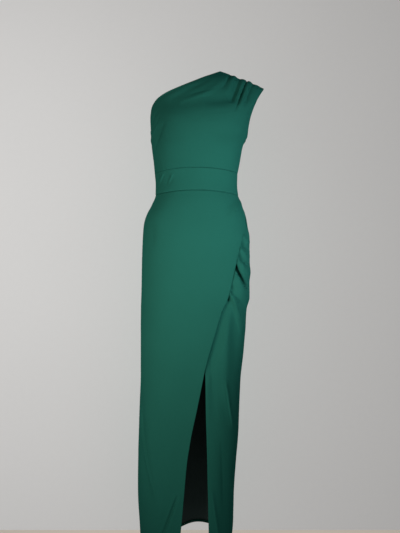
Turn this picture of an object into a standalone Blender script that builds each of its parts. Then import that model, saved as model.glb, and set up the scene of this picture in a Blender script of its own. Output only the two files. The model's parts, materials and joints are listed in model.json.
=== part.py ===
"""One-shoulder dress with a wrap-over skirt, in the hollow shape that it has when worn.

Metres, +Z up. The front faces -Y, and +X is the wearer's left. The origin is on top of the left
shoulder, where the wearer holds the dress up. Seven cut pieces are sewn edge to edge: two bodice
panels, two waistband halves, the wrap-over front skirt, the gathered front skirt under it and the
back skirt. Each piece is an open sheet of points with a wall thickened inwards.
"""
from collections import namedtuple
import math

import bpy
import numpy

# Cloth and sewing: the wall, the gap at a seam and the flat strip beside it, and how far from a
# seam the folds have their full height
WALL = 0.0015
SEAM_GAP = 0.0003
SEAM_MARGIN = 0.005
SEAM_FADE = 0.016
CLOTH_COLOUR = (0.0145, 0.115, 0.089, 1.0)
CLOTH_ROUGHNESS = 0.55

# The wrap: the gap under the overlay, how far past its edge the underlap stays sunk and then
# rises, and over what width the gathers grow from there
LAP_GAP = 0.0010
LAP_COVER = 0.005
LAP_RISE = 0.015
FOLD_START = 0.008

# Heights of the level seams and the hem, the place of the shoulder seam, and the heights of the
# bodice's two level sections above the waistband
BAND_TOP = -0.270
BAND_BOTTOM = -0.332
HEM = -1.338
SHOULDER_SEAM_Y = 0.004
LOW_BODICE = (-0.235, -0.198)

# The hem hangs lower at the left, over its last stretch
LEFT_HEM_DROP = 0.008
HEM_EASE = 0.12
HEM_MIDDLE = -0.15
HEM_HALF_WIDTH = 0.14

# The waist's two seams dip towards the sides, and the pieces follow them between two heights
SEAM_LIFT = 0.0020
SEAM_DIP = 0.0090
SEAM_MIDDLE = -0.132
SEAM_HALF_WIDTH = 0.12
DIP_TOP = -0.250
DIP_BOTTOM = -0.352
DIP_EASE = 0.06

# Faces across and down each piece
BODICE_COLUMNS = 26
BODICE_BACK_COLUMNS = 16
BODICE_ROWS = 22
BAND_COLUMNS = 18
BAND_ROWS = 3
OVERLAY_COLUMNS = 18
UNDERLAP_COLUMNS = 13
BACK_COLUMNS = 16
HIP_ROW = 0.0185
LEG_ROW = 0.046
HIP_END = -0.72
CURVE_SAMPLES = 181
FOLD_STEPS = 9
FOLD_TAPER = 0.6

# The worn outline at each height. left and right are the x of the side edges, front and back are
# how far the middle stands from the side edges, square is the power of the rounded corners, and
# seam_ahead is how far the left side seam lies in front of the widest place.
Section = namedtuple("Section", "height left right front back square seam_ahead")
SECTIONS = [
    Section(-0.198, -0.2612, 0.0014, 0.1160, 0.0980, 2.20, 0.000),
    Section(-0.235, -0.2556, -0.0063, 0.1010, 0.0900, 2.15, 0.000),
    Section(-0.270, -0.2524, -0.0133, 0.0900, 0.0830, 2.12, 0.000),
    Section(-0.301, -0.2500, -0.0140, 0.0860, 0.0820, 2.12, 0.000),
    Section(-0.332, -0.2505, -0.0108, 0.0880, 0.0860, 2.15, 0.000),
    Section(-0.357, -0.2609, -0.0017, 0.0930, 0.0960, 2.20, 0.000),
    Section(-0.391, -0.2754, 0.0099, 0.0990, 0.1070, 2.25, 0.000),
    Section(-0.426, -0.2841, 0.0162, 0.1040, 0.1150, 2.30, 0.004),
    Section(-0.461, -0.2870, 0.0215, 0.1075, 0.1205, 2.30, 0.008),
    Section(-0.530, -0.2895, 0.0220, 0.1100, 0.1240, 2.30, 0.010),
    Section(-0.560, -0.2900, 0.0247, 0.1102, 0.1235, 2.30, 0.009),
    Section(-0.590, -0.2905, 0.0215, 0.1102, 0.1225, 2.30, 0.008),
    Section(-0.632, -0.2915, 0.0215, 0.1095, 0.1200, 2.30, 0.004),
    Section(-0.665, -0.2925, 0.0132, 0.1085, 0.1175, 2.30, 0.002),
    Section(-0.722, -0.2928, 0.0099, 0.1070, 0.1140, 2.30, 0.000),
    Section(-0.791, -0.2928, 0.0041, 0.1060, 0.1120, 2.28, 0.000),
    Section(-0.861, -0.2930, -0.0038, 0.1060, 0.1115, 2.25, 0.002),
    Section(-0.930, -0.2957, -0.0075, 0.1065, 0.1120, 2.22, 0.008),
    Section(-1.017, -0.2986, -0.0106, 0.1075, 0.1140, 2.20, 0.018),
    Section(-1.104, -0.3006, -0.0176, 0.1085, 0.1165, 2.20, 0.026),
    Section(-1.191, -0.3010, -0.0234, 0.1095, 0.1190, 2.20, 0.028),
    Section(-1.278, -0.2960, -0.0256, 0.1100, 0.1210, 2.20, 0.020),
    Section(-1.345, -0.2925, -0.0308, 0.1105, 0.1225, 2.20, 0.012),
]

# Rows of the bodice above the level seams, from low to high. Each row runs from the left side
# seam or neckline to the right armhole. fullness is how far its middle stands out from the
# straight line between its ends, rise is how far its middle lifts, and ends is the power of its
# rounding: 1 makes a shallow arc, and 2 turns square to the sides.
Row = namedtuple("Row", "left_x left_y left_z right_x right_y right_z fullness rise ends")
FRONT_ROWS = [
    Row(-0.2616, 0.000, -0.192, 0.0034, -0.0150, -0.1905, 0.1105, 0.000, 2.2),
    Row(-0.2630, 0.000, -0.172, 0.0136, -0.0290, -0.1735, 0.1095, 0.000, 2.2),
    Row(-0.2645, 0.000, -0.145, 0.0162, -0.0385, -0.1500, 0.1093, 0.000, 2.15),
    Row(-0.2655, 0.000, -0.118, 0.0213, -0.0425, -0.1230, 0.1053, 0.000, 2.1),
    Row(-0.2618, 0.000, -0.084, 0.0310, -0.0430, -0.0935, 0.0890, 0.001, 2.0),
    Row(-0.2471, -0.035, -0.0690, 0.0378, -0.0430, -0.0780, 0.0640, 0.003, 1.6),
    Row(-0.2203, -0.060, -0.0549, 0.0432, -0.0410, -0.0660, 0.0450, 0.004, 1.35),
    Row(-0.1777, -0.073, -0.0385, 0.0499, -0.0340, -0.0530, 0.0300, 0.006, 1.15),
    Row(-0.1217, -0.062, -0.0132, 0.0568, -0.0210, -0.0408, 0.0190, 0.010, 1.0),
    Row(-0.0847, -0.035, 0.0066, 0.0599, -0.0120, -0.0345, 0.0105, 0.008, 1.0),
    Row(-0.0680, -0.014, 0.0175, 0.0620, -0.0060, -0.0308, 0.0060, 0.005, 1.0),
    Row(-0.0635, SHOULDER_SEAM_Y, 0.0215, 0.0630, SHOULDER_SEAM_Y, -0.0294, 0.0, 0.003, 1.0),
]
BACK_ROWS = [
    Row(-0.2616, 0.000, -0.192, 0.0034, 0.0150, -0.1905, 0.0915, 0.000, 2.2),
    Row(-0.2630, 0.000, -0.172, 0.0130, 0.0290, -0.1735, 0.0870, 0.000, 2.2),
    Row(-0.2645, 0.000, -0.145, 0.0150, 0.0385, -0.1500, 0.0853, 0.000, 2.15),
    Row(-0.2655, 0.000, -0.118, 0.0200, 0.0415, -0.1230, 0.0853, 0.000, 2.1),
    Row(-0.2618, 0.000, -0.084, 0.0275, 0.0420, -0.0935, 0.0850, 0.000, 2.0),
    Row(-0.2440, 0.045, -0.0805, 0.0338, 0.0440, -0.0780, 0.0600, 0.002, 1.6),
    Row(-0.2150, 0.070, -0.0720, 0.0392, 0.0440, -0.0660, 0.0460, 0.003, 1.35),
    Row(-0.1730, 0.084, -0.0560, 0.0468, 0.0380, -0.0530, 0.0340, 0.005, 1.15),
    Row(-0.1200, 0.076, -0.0300, 0.0547, 0.0250, -0.0408, 0.0210, 0.008, 1.0),
    Row(-0.0845, 0.046, -0.0010, 0.0592, 0.0180, -0.0345, 0.0110, 0.008, 1.0),
    Row(-0.0678, 0.022, 0.0155, 0.0620, 0.0130, -0.0308, 0.0060, 0.005, 1.0),
    Row(-0.0635, SHOULDER_SEAM_Y, 0.0215, 0.0630, SHOULDER_SEAM_Y, -0.0294, 0.0, 0.003, 1.0),
]

# The two edges of the wrap at each height: overlay is the x of the upper piece's slanting edge,
# underlap the x where the piece under it ends. They part at the top of the slit.
Wrap = namedtuple("Wrap", "height overlay underlap")
WRAP_START = -0.385
UNDERLAP_START = -0.360
SLIT_TOP = -0.828
WRAP_EASE = 0.02
SLIT_EASE = 0.05
WRAP_EDGES = [
    Wrap(-0.368, 0.0010, -0.0200),
    Wrap(-0.385, 0.0072, -0.0150),
    Wrap(-0.405, 0.0088, -0.0135),
    Wrap(-0.425, 0.0070, -0.0155),
    Wrap(-0.446, 0.0022, -0.0190),
    Wrap(-0.478, -0.0056, -0.0260),
    Wrap(-0.513, -0.0144, -0.0335),
    Wrap(-0.576, -0.0291, -0.0475),
    Wrap(-0.615, -0.0379, -0.0560),
    Wrap(-0.635, -0.0440, -0.0620),
    Wrap(-0.671, -0.0605, -0.0770),
    Wrap(-0.727, -0.0778, -0.0930),
    Wrap(-0.787, -0.0955, -0.1040),
    Wrap(-0.825, -0.1054, -0.1066),
    Wrap(-0.842, -0.1093, -0.1074),
    Wrap(-0.878, -0.1164, -0.1072),
    Wrap(-0.944, -0.1300, -0.1062),
    Wrap(-1.020, -0.1462, -0.1040),
    Wrap(-1.092, -0.1572, -0.1020),
    Wrap(-1.185, -0.1655, -0.1005),
    Wrap(-1.273, -0.1735, -0.0985),
    Wrap(-1.345, -0.1800, -0.0965),
]

# Soft waves of the skirt's back hem: the x of each one's middle, its half width and how far it lifts
HemWave = namedtuple("HemWave", "x width lift")
BACK_HEM_WAVES = [
    HemWave(-0.128, 0.060, 0.0130),
    HemWave(-0.205, 0.042, -0.0110),
]

# Folds, seen from the front or the back: a curve from start by way of middle to end, its half
# width, and its height, which is below zero for a trough. open_start is 1 where a fold runs on
# into a seam at its start, so that it keeps its height there.
Fold = namedtuple("Fold", "start_x start_z mid_x mid_z end_x end_z width height open_start")
SHOULDER_PLEATS = [
    Fold(-0.007, -0.001, -0.0200, -0.045, -0.0360, -0.092, 0.0088, -0.0116, 0.12),
    Fold(0.020, -0.012, 0.0035, -0.054, -0.0120, -0.108, 0.0064, 0.0052, 0.2),
    Fold(-0.022, 0.005, -0.0330, -0.026, -0.0470, -0.066, 0.0070, 0.0040, 0.2),
    Fold(-0.030, 0.008, -0.0430, -0.018, -0.0590, -0.050, 0.0060, -0.0034, 0.2),
    Fold(0.031, -0.019, 0.0165, -0.057, 0.0020, -0.100, 0.0052, -0.0040, 0.2),
    Fold(0.044, -0.024, 0.0340, -0.058, 0.0200, -0.104, 0.0085, 0.0028, 0.2),
]
BODICE_FRONT_FOLDS = [
    Fold(-0.056, -0.020, -0.1090, -0.0665, -0.1822, -0.087, 0.0100, 0.0056, 0),
    Fold(-0.022, -0.068, -0.0560, -0.081, -0.1120, -0.088, 0.0160, -0.0074, 0),
    Fold(-0.090, -0.014, -0.1450, -0.046, -0.2050, -0.076, 0.0090, -0.0036, 0),
    Fold(-0.238, -0.128, -0.250, -0.158, -0.257, -0.188, 0.0065, 0.0040, 0),
    Fold(-0.226, -0.146, -0.240, -0.180, -0.251, -0.216, 0.0060, -0.0040, 0),
    Fold(-0.243, -0.102, -0.254, -0.126, -0.261, -0.152, 0.0060, -0.0036, 0),
    Fold(-0.198, -0.116, -0.200, -0.150, -0.194, -0.186, 0.0420, 0.0022, 0),
    Fold(-0.062, -0.122, -0.062, -0.152, -0.068, -0.188, 0.0420, 0.0022, 0),
]
BODICE_BACK_FOLDS = [
    Fold(-0.130, -0.190, -0.132, -0.230, -0.134, -0.262, 0.0200, -0.0034, 0),
    Fold(-0.070, -0.020, -0.110, -0.050, -0.160, -0.080, 0.0140, 0.0034, 0),
    Fold(-0.030, -0.050, -0.062, -0.088, -0.112, -0.116, 0.0130, -0.0036, 0),
    Fold(-0.216, -0.118, -0.196, -0.150, -0.170, -0.176, 0.0120, -0.0030, 0),
    Fold(-0.010, -0.150, -0.036, -0.180, -0.066, -0.204, 0.0110, 0.0026, 0),
]
BAND_FOLDS = [
    Fold(-0.236, -0.276, -0.243, -0.294, -0.248, -0.312, 0.0070, -0.0030, 0),
    Fold(-0.204, -0.290, -0.211, -0.304, -0.217, -0.320, 0.0080, -0.0024, 0),
]
OVERLAY_FOLDS = [
    Fold(-0.016, -0.345, -0.032, -0.368, -0.048, -0.400, 0.0090, -0.0042, 0),
    Fold(-0.002, -0.350, -0.018, -0.380, -0.036, -0.418, 0.0090, 0.0042, 0),
    Fold(-0.262, -0.420, -0.254, -0.452, -0.258, -0.490, 0.0090, -0.0020, 0),
    Fold(-0.290, -0.900, -0.282, -1.040, -0.252, -1.220, 0.0120, -0.0064, 0),
    Fold(-0.268, -0.940, -0.256, -1.080, -0.232, -1.240, 0.0160, 0.0038, 0),
    Fold(-0.178, -1.165, -0.202, -1.228, -0.238, -1.325, 0.0130, 0.0054, 0),
    Fold(-0.196, -1.185, -0.220, -1.248, -0.252, -1.330, 0.0120, -0.0056, 0),
    Fold(-0.176, -1.020, -0.186, -1.140, -0.196, -1.260, 0.0160, -0.0020, 0),
]
UNDERLAP_FOLDS = [
    Fold(-0.004, -0.456, 0.006, -0.466, 0.020, -0.480, 0.0070, 0.0046, 1),
    Fold(-0.004, -0.476, 0.006, -0.487, 0.019, -0.501, 0.0058, -0.0052, 1),
    Fold(-0.010, -0.492, 0.001, -0.505, 0.019, -0.522, 0.0076, 0.0054, 1),
    Fold(-0.013, -0.510, 0.000, -0.525, 0.017, -0.543, 0.0058, -0.0056, 1),
    Fold(-0.018, -0.524, -0.003, -0.545, 0.019, -0.570, 0.0080, 0.0064, 1),
    Fold(-0.0230, -0.537, -0.0070, -0.570, 0.0135, -0.607, 0.0050, -0.0080, 1),
    Fold(-0.026, -0.562, -0.012, -0.596, 0.010, -0.632, 0.0115, 0.0072, 1),
    Fold(-0.034, -0.600, -0.018, -0.630, 0.006, -0.656, 0.0065, -0.0044, 1),
    Fold(-0.040, -0.612, -0.022, -0.662, -0.004, -0.740, 0.0080, 0.0058, 1),
    Fold(-0.034, -0.650, -0.022, -0.730, -0.022, -0.880, 0.0150, -0.0064, 0),
    Fold(-0.044, -0.650, -0.050, -0.780, -0.054, -0.940, 0.0120, 0.0056, 0),
    Fold(-0.027, -0.596, -0.0620, -0.725, -0.096, -0.850, 0.0115, -0.0125, 0),
    Fold(-0.054, -0.860, -0.0443, -0.922, -0.0290, -1.005, 0.0090, 0.0042, 0),
    Fold(-0.080, -0.740, -0.085, -0.860, -0.082, -0.980, 0.0110, -0.0034, 0),
    Fold(-0.096, -1.150, -0.084, -1.230, -0.068, -1.310, 0.0110, 0.0040, 0),
    Fold(-0.058, -1.030, -0.052, -1.150, -0.050, -1.290, 0.0150, -0.0040, 0),
]
BACK_FOLDS = [
    Fold(-0.205, -0.640, -0.215, -0.800, -0.225, -1.000, 0.0200, -0.0050, 0),
    Fold(-0.100, -0.620, -0.092, -0.800, -0.084, -1.020, 0.0220, -0.0056, 0),
    Fold(-0.150, -0.700, -0.158, -0.900, -0.170, -1.200, 0.0240, 0.0054, 0),
    Fold(-0.060, -0.860, -0.066, -1.020, -0.078, -1.260, 0.0180, 0.0046, 0),
    Fold(-0.250, -0.940, -0.246, -1.100, -0.236, -1.300, 0.0180, 0.0048, 0),
    Fold(-0.020, -0.372, -0.040, -0.396, -0.064, -0.420, 0.0110, -0.0026, 0),
    Fold(-0.246, -0.376, -0.222, -0.396, -0.190, -0.412, 0.0110, -0.0024, 0),
    Fold(-0.010, -0.520, -0.046, -0.560, -0.098, -0.580, 0.0140, -0.0034, 0),
    Fold(-0.270, -0.560, -0.236, -0.590, -0.190, -0.602, 0.0150, -0.0030, 0),
    Fold(-0.118, -1.060, -0.112, -1.180, -0.104, -1.310, 0.0170, -0.0048, 0),
]


def steady_slopes(stops, values):
    """Slopes at the stops of a smooth curve that never swings past its own values."""
    steps = numpy.diff(stops).reshape((-1,) + (1,) * (values.ndim - 1))
    rates = numpy.diff(values, axis=0) / steps
    slopes = numpy.empty_like(values)
    slopes[0] = rates[0]
    slopes[-1] = rates[-1]
    before = rates[:-1]
    after = rates[1:]
    same_way = before * after > 0
    total = numpy.where(same_way, before + after, 1.0)
    slopes[1:-1] = numpy.where(same_way, 2.0 * before * after / total, 0.0)
    return slopes


def smooth_between(stops, values, places):
    """Values at the places on a smooth curve through the values at the stops."""
    stops = numpy.asarray(stops, dtype=float)
    values = numpy.asarray(values, dtype=float)
    places = numpy.clip(numpy.asarray(places, dtype=float), stops[0], stops[-1])
    slopes = steady_slopes(stops, values)
    low = numpy.clip(numpy.searchsorted(stops, places, side="right") - 1, 0, len(stops) - 2)
    step = stops[low + 1] - stops[low]
    along = (places - stops[low]) / step
    shape = numpy.shape(places) + (1,) * (values.ndim - 1)
    step = numpy.reshape(step, shape)
    along = numpy.reshape(along, shape)
    from_low = values[low] * (1 + 2 * along) * (1 - along) ** 2
    from_high = values[low + 1] * along ** 2 * (3 - 2 * along)
    from_slopes = step * along * (1 - along) * (slopes[low] * (1 - along) - slopes[low + 1] * along)
    return from_low + from_high + from_slopes


def section_at(height):
    """The worn outline's sizes at any height."""
    rows = SECTIONS[::-1]
    heights = [row.height for row in rows]
    return Section(*smooth_between(heights, rows, height))


def wrap_at(height):
    """The two wrap edges at any height."""
    rows = WRAP_EDGES[::-1]
    heights = [row.height for row in rows]
    return Wrap(*smooth_between(heights, rows, height))


def signed_power(value, power):
    """A power that keeps the sign of its base."""
    return numpy.sign(value) * numpy.abs(value) ** power


def ring_points(section, start, end):
    """Points round a section from one turn to another: 0 is the front, a quarter turn the right."""
    turns = numpy.linspace(start, end, CURVE_SAMPLES)
    middle = (section.left + section.right) / 2
    half_width = (section.right - section.left) / 2
    ahead = numpy.cos(turns)
    depth = numpy.where(ahead > 0, section.front, section.back)
    x = middle + half_width * signed_power(numpy.sin(turns), 2 / section.square)
    y = -depth * signed_power(ahead, 2 / section.square)
    return numpy.stack([x, y, numpy.full_like(x, section.height)], axis=1)


def left_seam_turn(section):
    """The turn at which the left side seam stands."""
    return -math.acos((section.seam_ahead / section.front) ** (section.square / 2))


def turn_at_x(section, x):
    """The turn at which the front of a section reaches an x."""
    middle = (section.left + section.right) / 2
    half_width = (section.right - section.left) / 2
    share = min(1.0, max(-1.0, (x - middle) / half_width))
    return math.asin(math.copysign(abs(share) ** (section.square / 2), share))


def spread(points, columns):
    """Points evenly spaced along a curve, with one close to each end for the seam's margin."""
    lengths = numpy.linalg.norm(numpy.diff(points, axis=0), axis=1)
    along = numpy.concatenate([[0.0], numpy.cumsum(lengths)])
    total = along[-1]
    first = SEAM_GAP / 2
    inner = numpy.linspace(SEAM_MARGIN, total - SEAM_MARGIN, columns - 1)
    places = numpy.concatenate([[first], inner, [total - first]])
    return numpy.stack([numpy.interp(places, along, points[:, axis]) for axis in range(3)], axis=1)


def row_points(row, facing):
    """Points along a bodice row from left to right; facing is -1 in front and 1 behind."""
    turns = numpy.linspace(-math.pi / 2, math.pi / 2, CURVE_SAMPLES)
    corner = max(2.0, row.ends)
    share = (1 + signed_power(numpy.sin(turns), 2 / corner)) / 2
    arch = numpy.cos(turns).clip(0, 1) ** (2 / row.ends)
    x = row.left_x + (row.right_x - row.left_x) * share
    y = row.left_y + (row.right_y - row.left_y) * share + facing * row.fullness * arch
    z = row.left_z + (row.right_z - row.left_z) * share + row.rise * arch
    return numpy.stack([x, y, z], axis=1)


def level_heights(top, bottom):
    """Row heights of a skirt piece: close together at the hip and wider apart below it."""
    hip = numpy.linspace(top - SEAM_MARGIN, HIP_END, round((top - SEAM_MARGIN - HIP_END) / HIP_ROW) + 1)
    leg = numpy.linspace(HIP_END, bottom + SEAM_MARGIN, round((HIP_END - bottom) / LEG_ROW) + 1)
    return numpy.concatenate([[top - SEAM_GAP / 2], hip, leg[1:], [bottom]])


def hem_shaped(points):
    """A skirt piece with its last rows let down towards the left, as the hem hangs."""
    ease = ((HEM + HEM_EASE - points[:, :, 2]) / HEM_EASE).clip(0, 1) ** 2
    drop = LEFT_HEM_DROP * ((HEM_MIDDLE - points[:, :, 0]) / HEM_HALF_WIDTH)
    points[:, :, 2] -= ease * drop
    return points


def seams_dipped(points):
    """Points with the waist's level seams let down towards the sides, as they hang when worn."""
    past_top = (points[:, :, 2] - DIP_TOP) / DIP_EASE
    past_bottom = (DIP_BOTTOM - points[:, :, 2]) / DIP_EASE
    away = numpy.maximum(past_top, past_bottom).clip(0, 1)
    near = 1 - away * away * (3 - 2 * away)
    sideways = (points[:, :, 0] - SEAM_MIDDLE) / SEAM_HALF_WIDTH
    points[:, :, 2] += near * (SEAM_LIFT - SEAM_DIP * sideways ** 2)
    return points


def back_hem_waved(points):
    """The skirt's back with its hem lifted and dropped in soft waves."""
    ease = ((HEM + HEM_EASE - points[:, :, 2]) / HEM_EASE).clip(0, 1) ** 2
    for wave in BACK_HEM_WAVES:
        points[:, :, 2] += ease * wave.lift * numpy.exp(-(((points[:, :, 0] - wave.x) / wave.width) ** 2))
    return points


def surface_normals(points):
    """Unit normals of a grid of points, out of the side where its columns run to the right."""
    across = numpy.gradient(points, axis=1)
    down = numpy.gradient(points, axis=0)
    normals = numpy.cross(down, across)
    return normals / numpy.linalg.norm(normals, axis=2, keepdims=True)


def fold_heights(points, folds):
    """How far the folds lift a grid of points, worked out as they look from the front or back."""
    lift = numpy.zeros(points.shape[:2])
    for fold in folds:
        best = numpy.full(lift.shape, numpy.inf)
        best_along = numpy.zeros(lift.shape)
        places = numpy.linspace(0, 1, FOLD_STEPS)
        path_x = bend(fold.start_x, fold.mid_x, fold.end_x, places)
        path_z = bend(fold.start_z, fold.mid_z, fold.end_z, places)
        for step in range(FOLD_STEPS - 1):
            run_x = path_x[step + 1] - path_x[step]
            run_z = path_z[step + 1] - path_z[step]
            reach_x = points[:, :, 0] - path_x[step]
            reach_z = points[:, :, 2] - path_z[step]
            share = ((reach_x * run_x + reach_z * run_z) / (run_x ** 2 + run_z ** 2)).clip(0, 1)
            apart = numpy.hypot(reach_x - share * run_x, reach_z - share * run_z)
            nearer = apart < best
            best = numpy.where(nearer, apart, best)
            best_along = numpy.where(nearer, (step + share) / (FOLD_STEPS - 1), best_along)
        rising = numpy.maximum(numpy.sin(math.pi * best_along / 2), fold.open_start)
        taper = (rising * numpy.cos(math.pi * best_along / 2)) ** FOLD_TAPER
        lift += fold.height * taper * numpy.exp(-((best / fold.width) ** 2))
    return lift


def bend(start, middle, end, places):
    """Values along a smooth bend that passes through its middle."""
    control = 2 * middle - (start + end) / 2
    return (1 - places) ** 2 * start + 2 * places * (1 - places) * control + places ** 2 * end


def edge_fade(points, fade_left, fade_right, fade_top, fade_bottom):
    """From 0 on the chosen edges of a grid to 1 further in, so that sewn edges keep meeting."""
    across = numpy.linalg.norm(numpy.diff(points, axis=1), axis=2).cumsum(axis=1)
    across = numpy.concatenate([numpy.zeros((len(points), 1)), across], axis=1)
    down = numpy.linalg.norm(numpy.diff(points, axis=0), axis=2).cumsum(axis=0)
    down = numpy.concatenate([numpy.zeros((1, points.shape[1])), down], axis=0)
    fade = numpy.ones(points.shape[:2])
    for wanted, distance in (
        (fade_left, across),
        (fade_right, across[:, -1:] - across),
        (fade_top, down),
        (fade_bottom, down[-1:] - down),
    ):
        if wanted:
            share = (distance / SEAM_FADE).clip(0, 1)
            fade *= share * share * (3 - 2 * share)
    return fade


def folded(points, folds, fade_left=True, fade_right=True, fade_top=True, fade_bottom=True):
    """A grid of points with its folds raised and sunk along its own normals."""
    lift = fold_heights(points, folds) * edge_fade(points, fade_left, fade_right, fade_top, fade_bottom)
    return points + surface_normals(points) * lift[:, :, None]


def cloth_material(name):
    """Deep green crepe with a soft sheen."""
    material = bpy.data.materials.new(name)
    material.use_nodes = True
    shader = material.node_tree.nodes["Principled BSDF"]
    shader.inputs["Base Color"].default_value = CLOTH_COLOUR
    shader.inputs["Roughness"].default_value = CLOTH_ROUGHNESS
    shader.inputs["Metallic"].default_value = 0.0
    material.diffuse_color = CLOTH_COLOUR
    return material


def cloth_piece(name, points, collection):
    """A sewn piece: a sheet through a grid of points, thickened inwards into a wall."""
    rows, columns = points.shape[:2]
    corners = points.reshape(-1, 3).tolist()
    faces = []
    for row in range(rows - 1):
        for column in range(columns - 1):
            first = row * columns + column
            faces.append((first, first + columns, first + columns + 1, first + 1))
    mesh = bpy.data.meshes.new(name)
    mesh.from_pydata(corners, [], faces)
    mesh.shade_smooth()
    piece = bpy.data.objects.new(name, mesh)
    collection.objects.link(piece)
    mesh.materials.append(cloth_material(name))
    wall = piece.modifiers.new("wall", "SOLIDIFY")
    wall.thickness = WALL
    wall.offset = -1.0
    wall.use_even_offset = True
    wall.use_rim = True
    return piece


def bodice_points(rows, columns, stations):
    """The grid of a bodice panel, from its shoulder seam down to the waistband."""
    back = rows is BACK_ROWS
    curves = []
    for height in (BAND_TOP + SEAM_GAP / 2,) + LOW_BODICE:
        section = section_at(height)
        turns = (math.pi * 1.5, math.pi / 2) if back else (-math.pi / 2, math.pi / 2)
        curves.append(spread(ring_points(section, *turns), columns))
    facing = 1 if back else -1
    curves += [spread(row_points(row, facing), columns) for row in rows]
    points = smooth_between(stations[0], numpy.array(curves), stations[1])
    return seams_dipped(points[::-1])


def bodice_stations():
    """Where the bodice's known rows lie, and where its rows of faces go, as lengths up the front."""
    heights = (BAND_TOP,) + LOW_BODICE
    middles = [(-section_at(height).front, height) for height in heights]
    for row in FRONT_ROWS:
        middle = row_points(row, -1)[CURVE_SAMPLES // 2]
        middles.append((middle[1], middle[2]))
    steps = numpy.linalg.norm(numpy.diff(numpy.array(middles), axis=0), axis=1)
    known = numpy.concatenate([[0.0], numpy.cumsum(steps)])
    inner = numpy.linspace(SEAM_MARGIN, known[-1] - SEAM_MARGIN, BODICE_ROWS - 1)
    return known, numpy.concatenate([[0.0], inner, [known[-1]]])


def make_bodice(collection):
    """The two bodice panels, which meet at the side seams and on the shoulder."""
    stations = bodice_stations()
    front = shoulder_levelled(bodice_points(FRONT_ROWS, BODICE_COLUMNS, stations), -1)
    front = folded(front, SHOULDER_PLEATS + BODICE_FRONT_FOLDS, fade_top=False)
    cloth_piece("bodice_front", front, collection)
    back = shoulder_levelled(bodice_points(BACK_ROWS, BODICE_BACK_COLUMNS, stations), 1)
    back = folded(back[:, ::-1], SHOULDER_PLEATS + BODICE_BACK_FOLDS, fade_top=False)
    cloth_piece("bodice_back", back, collection)


def shoulder_levelled(points, facing):
    """A bodice panel whose strip beside the shoulder seam lies level, so that the walls meet square."""
    points[0, :, 1] += facing * SEAM_GAP / 2
    points[1] = points[0]
    points[1, :, 1] += facing * SEAM_MARGIN
    return points


def ring_grid(heights, turns_at, columns):
    """A grid of level rows, each between the two turns that its section gives."""
    rows = []
    for height in heights:
        section = section_at(height)
        start, end = turns_at(section)
        rows.append(spread(ring_points(section, start, end), columns))
    return numpy.array(rows)


def front_turns(section):
    """From the left side seam round the front to the right side seam."""
    return left_seam_turn(section), math.pi / 2


def back_turns(section):
    """From the right side seam round the back to the left side seam."""
    return math.pi / 2, 2 * math.pi + left_seam_turn(section)


def overlay_turns(section):
    """From the left side seam to the slanting wrap edge."""
    if section.height > WRAP_START:
        return front_turns(section)
    return left_seam_turn(section), turn_at_x(section, wrap_at(section.height).overlay)


def underlap_turns(section):
    """From the underlap's own edge to the right side seam."""
    return turn_at_x(section, wrap_at(section.height).underlap), math.pi / 2


def make_waistband(collection):
    """The shaped band in two halves, seamed at the sides."""
    heights = numpy.linspace(BAND_TOP - SEAM_GAP / 2, BAND_BOTTOM + SEAM_GAP / 2, BAND_ROWS + 1)
    front = seams_dipped(ring_grid(heights, front_turns, BAND_COLUMNS))
    cloth_piece("waistband_front", folded(front, BAND_FOLDS), collection)
    back = seams_dipped(ring_grid(heights, back_turns, BAND_COLUMNS))
    cloth_piece("waistband_back", back, collection)


def make_skirt(collection):
    """The wrap-over front, the gathered piece under it and the back."""
    heights = level_heights(BAND_BOTTOM, HEM)
    overlay = seams_dipped(hem_shaped(ring_grid(heights, overlay_turns, OVERLAY_COLUMNS)))
    overlay = folded(overlay, OVERLAY_FOLDS, fade_right=False, fade_bottom=False)
    cloth_piece("skirt_overlay", overlay, collection)
    back = seams_dipped(hem_shaped(ring_grid(heights, back_turns, BACK_COLUMNS)))
    back = folded(back_hem_waved(back), BACK_FOLDS, fade_bottom=False)
    cloth_piece("skirt_back", back, collection)
    cloth_piece("skirt_underlap", underlap_points(), collection)


def underlap_points():
    """The gathered piece, sunk below the overlay where that lies on it."""
    heights = level_heights(BAND_BOTTOM, HEM)
    heights = heights[heights < UNDERLAP_START]
    points = seams_dipped(hem_shaped(ring_grid(heights, underlap_turns, UNDERLAP_COLUMNS)))
    wrap_x = numpy.array([wrap_at(height).overlay for height in heights])[:, None]
    past_edge = points[:, :, 0] - wrap_x
    covered = (1 - (past_edge - LAP_COVER) / LAP_RISE).clip(0, 1)
    covered = covered * covered * (3 - 2 * covered)
    above_wrap = (heights[:, None] - WRAP_START + WRAP_EASE) / WRAP_EASE
    covered = numpy.maximum(covered, above_wrap).clip(0, 1)
    covered *= ((heights[:, None] - SLIT_TOP + SLIT_EASE) / SLIT_EASE).clip(0, 1)
    uncovered = ((past_edge - LAP_COVER) / FOLD_START).clip(0, 1)
    below_slit = ((SLIT_TOP - heights[:, None]) / SLIT_EASE).clip(0, 1)
    lift = fold_heights(points, UNDERLAP_FOLDS) * edge_fade(points, False, True, False, False)
    lift = lift * numpy.maximum(uncovered, below_slit) - covered * (WALL + LAP_GAP)
    return points + surface_normals(points) * lift[:, :, None]


def main():
    for old in list(bpy.data.objects):
        bpy.data.objects.remove(old, do_unlink=True)
    collection = bpy.data.collections.new("one_shoulder_dress")
    bpy.context.scene.collection.children.link(collection)
    make_bodice(collection)
    make_waistband(collection)
    make_skirt(collection)


main()
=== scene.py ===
"""Looks of a one-shoulder dress with a wrap-over skirt, around the frame that its solids were packed in.

Metres, +Z up. The front faces -Y, and +X is the wearer's left. Each cut piece of crepe is one fine
sheet on its solid's form. Its seams and hems are turned under with the allowances a maker would
leave, its pleats, gathers and drag lines are placed one by one, and the sheet then gets its thickness.
"""
from collections import namedtuple
import json
import math

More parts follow.
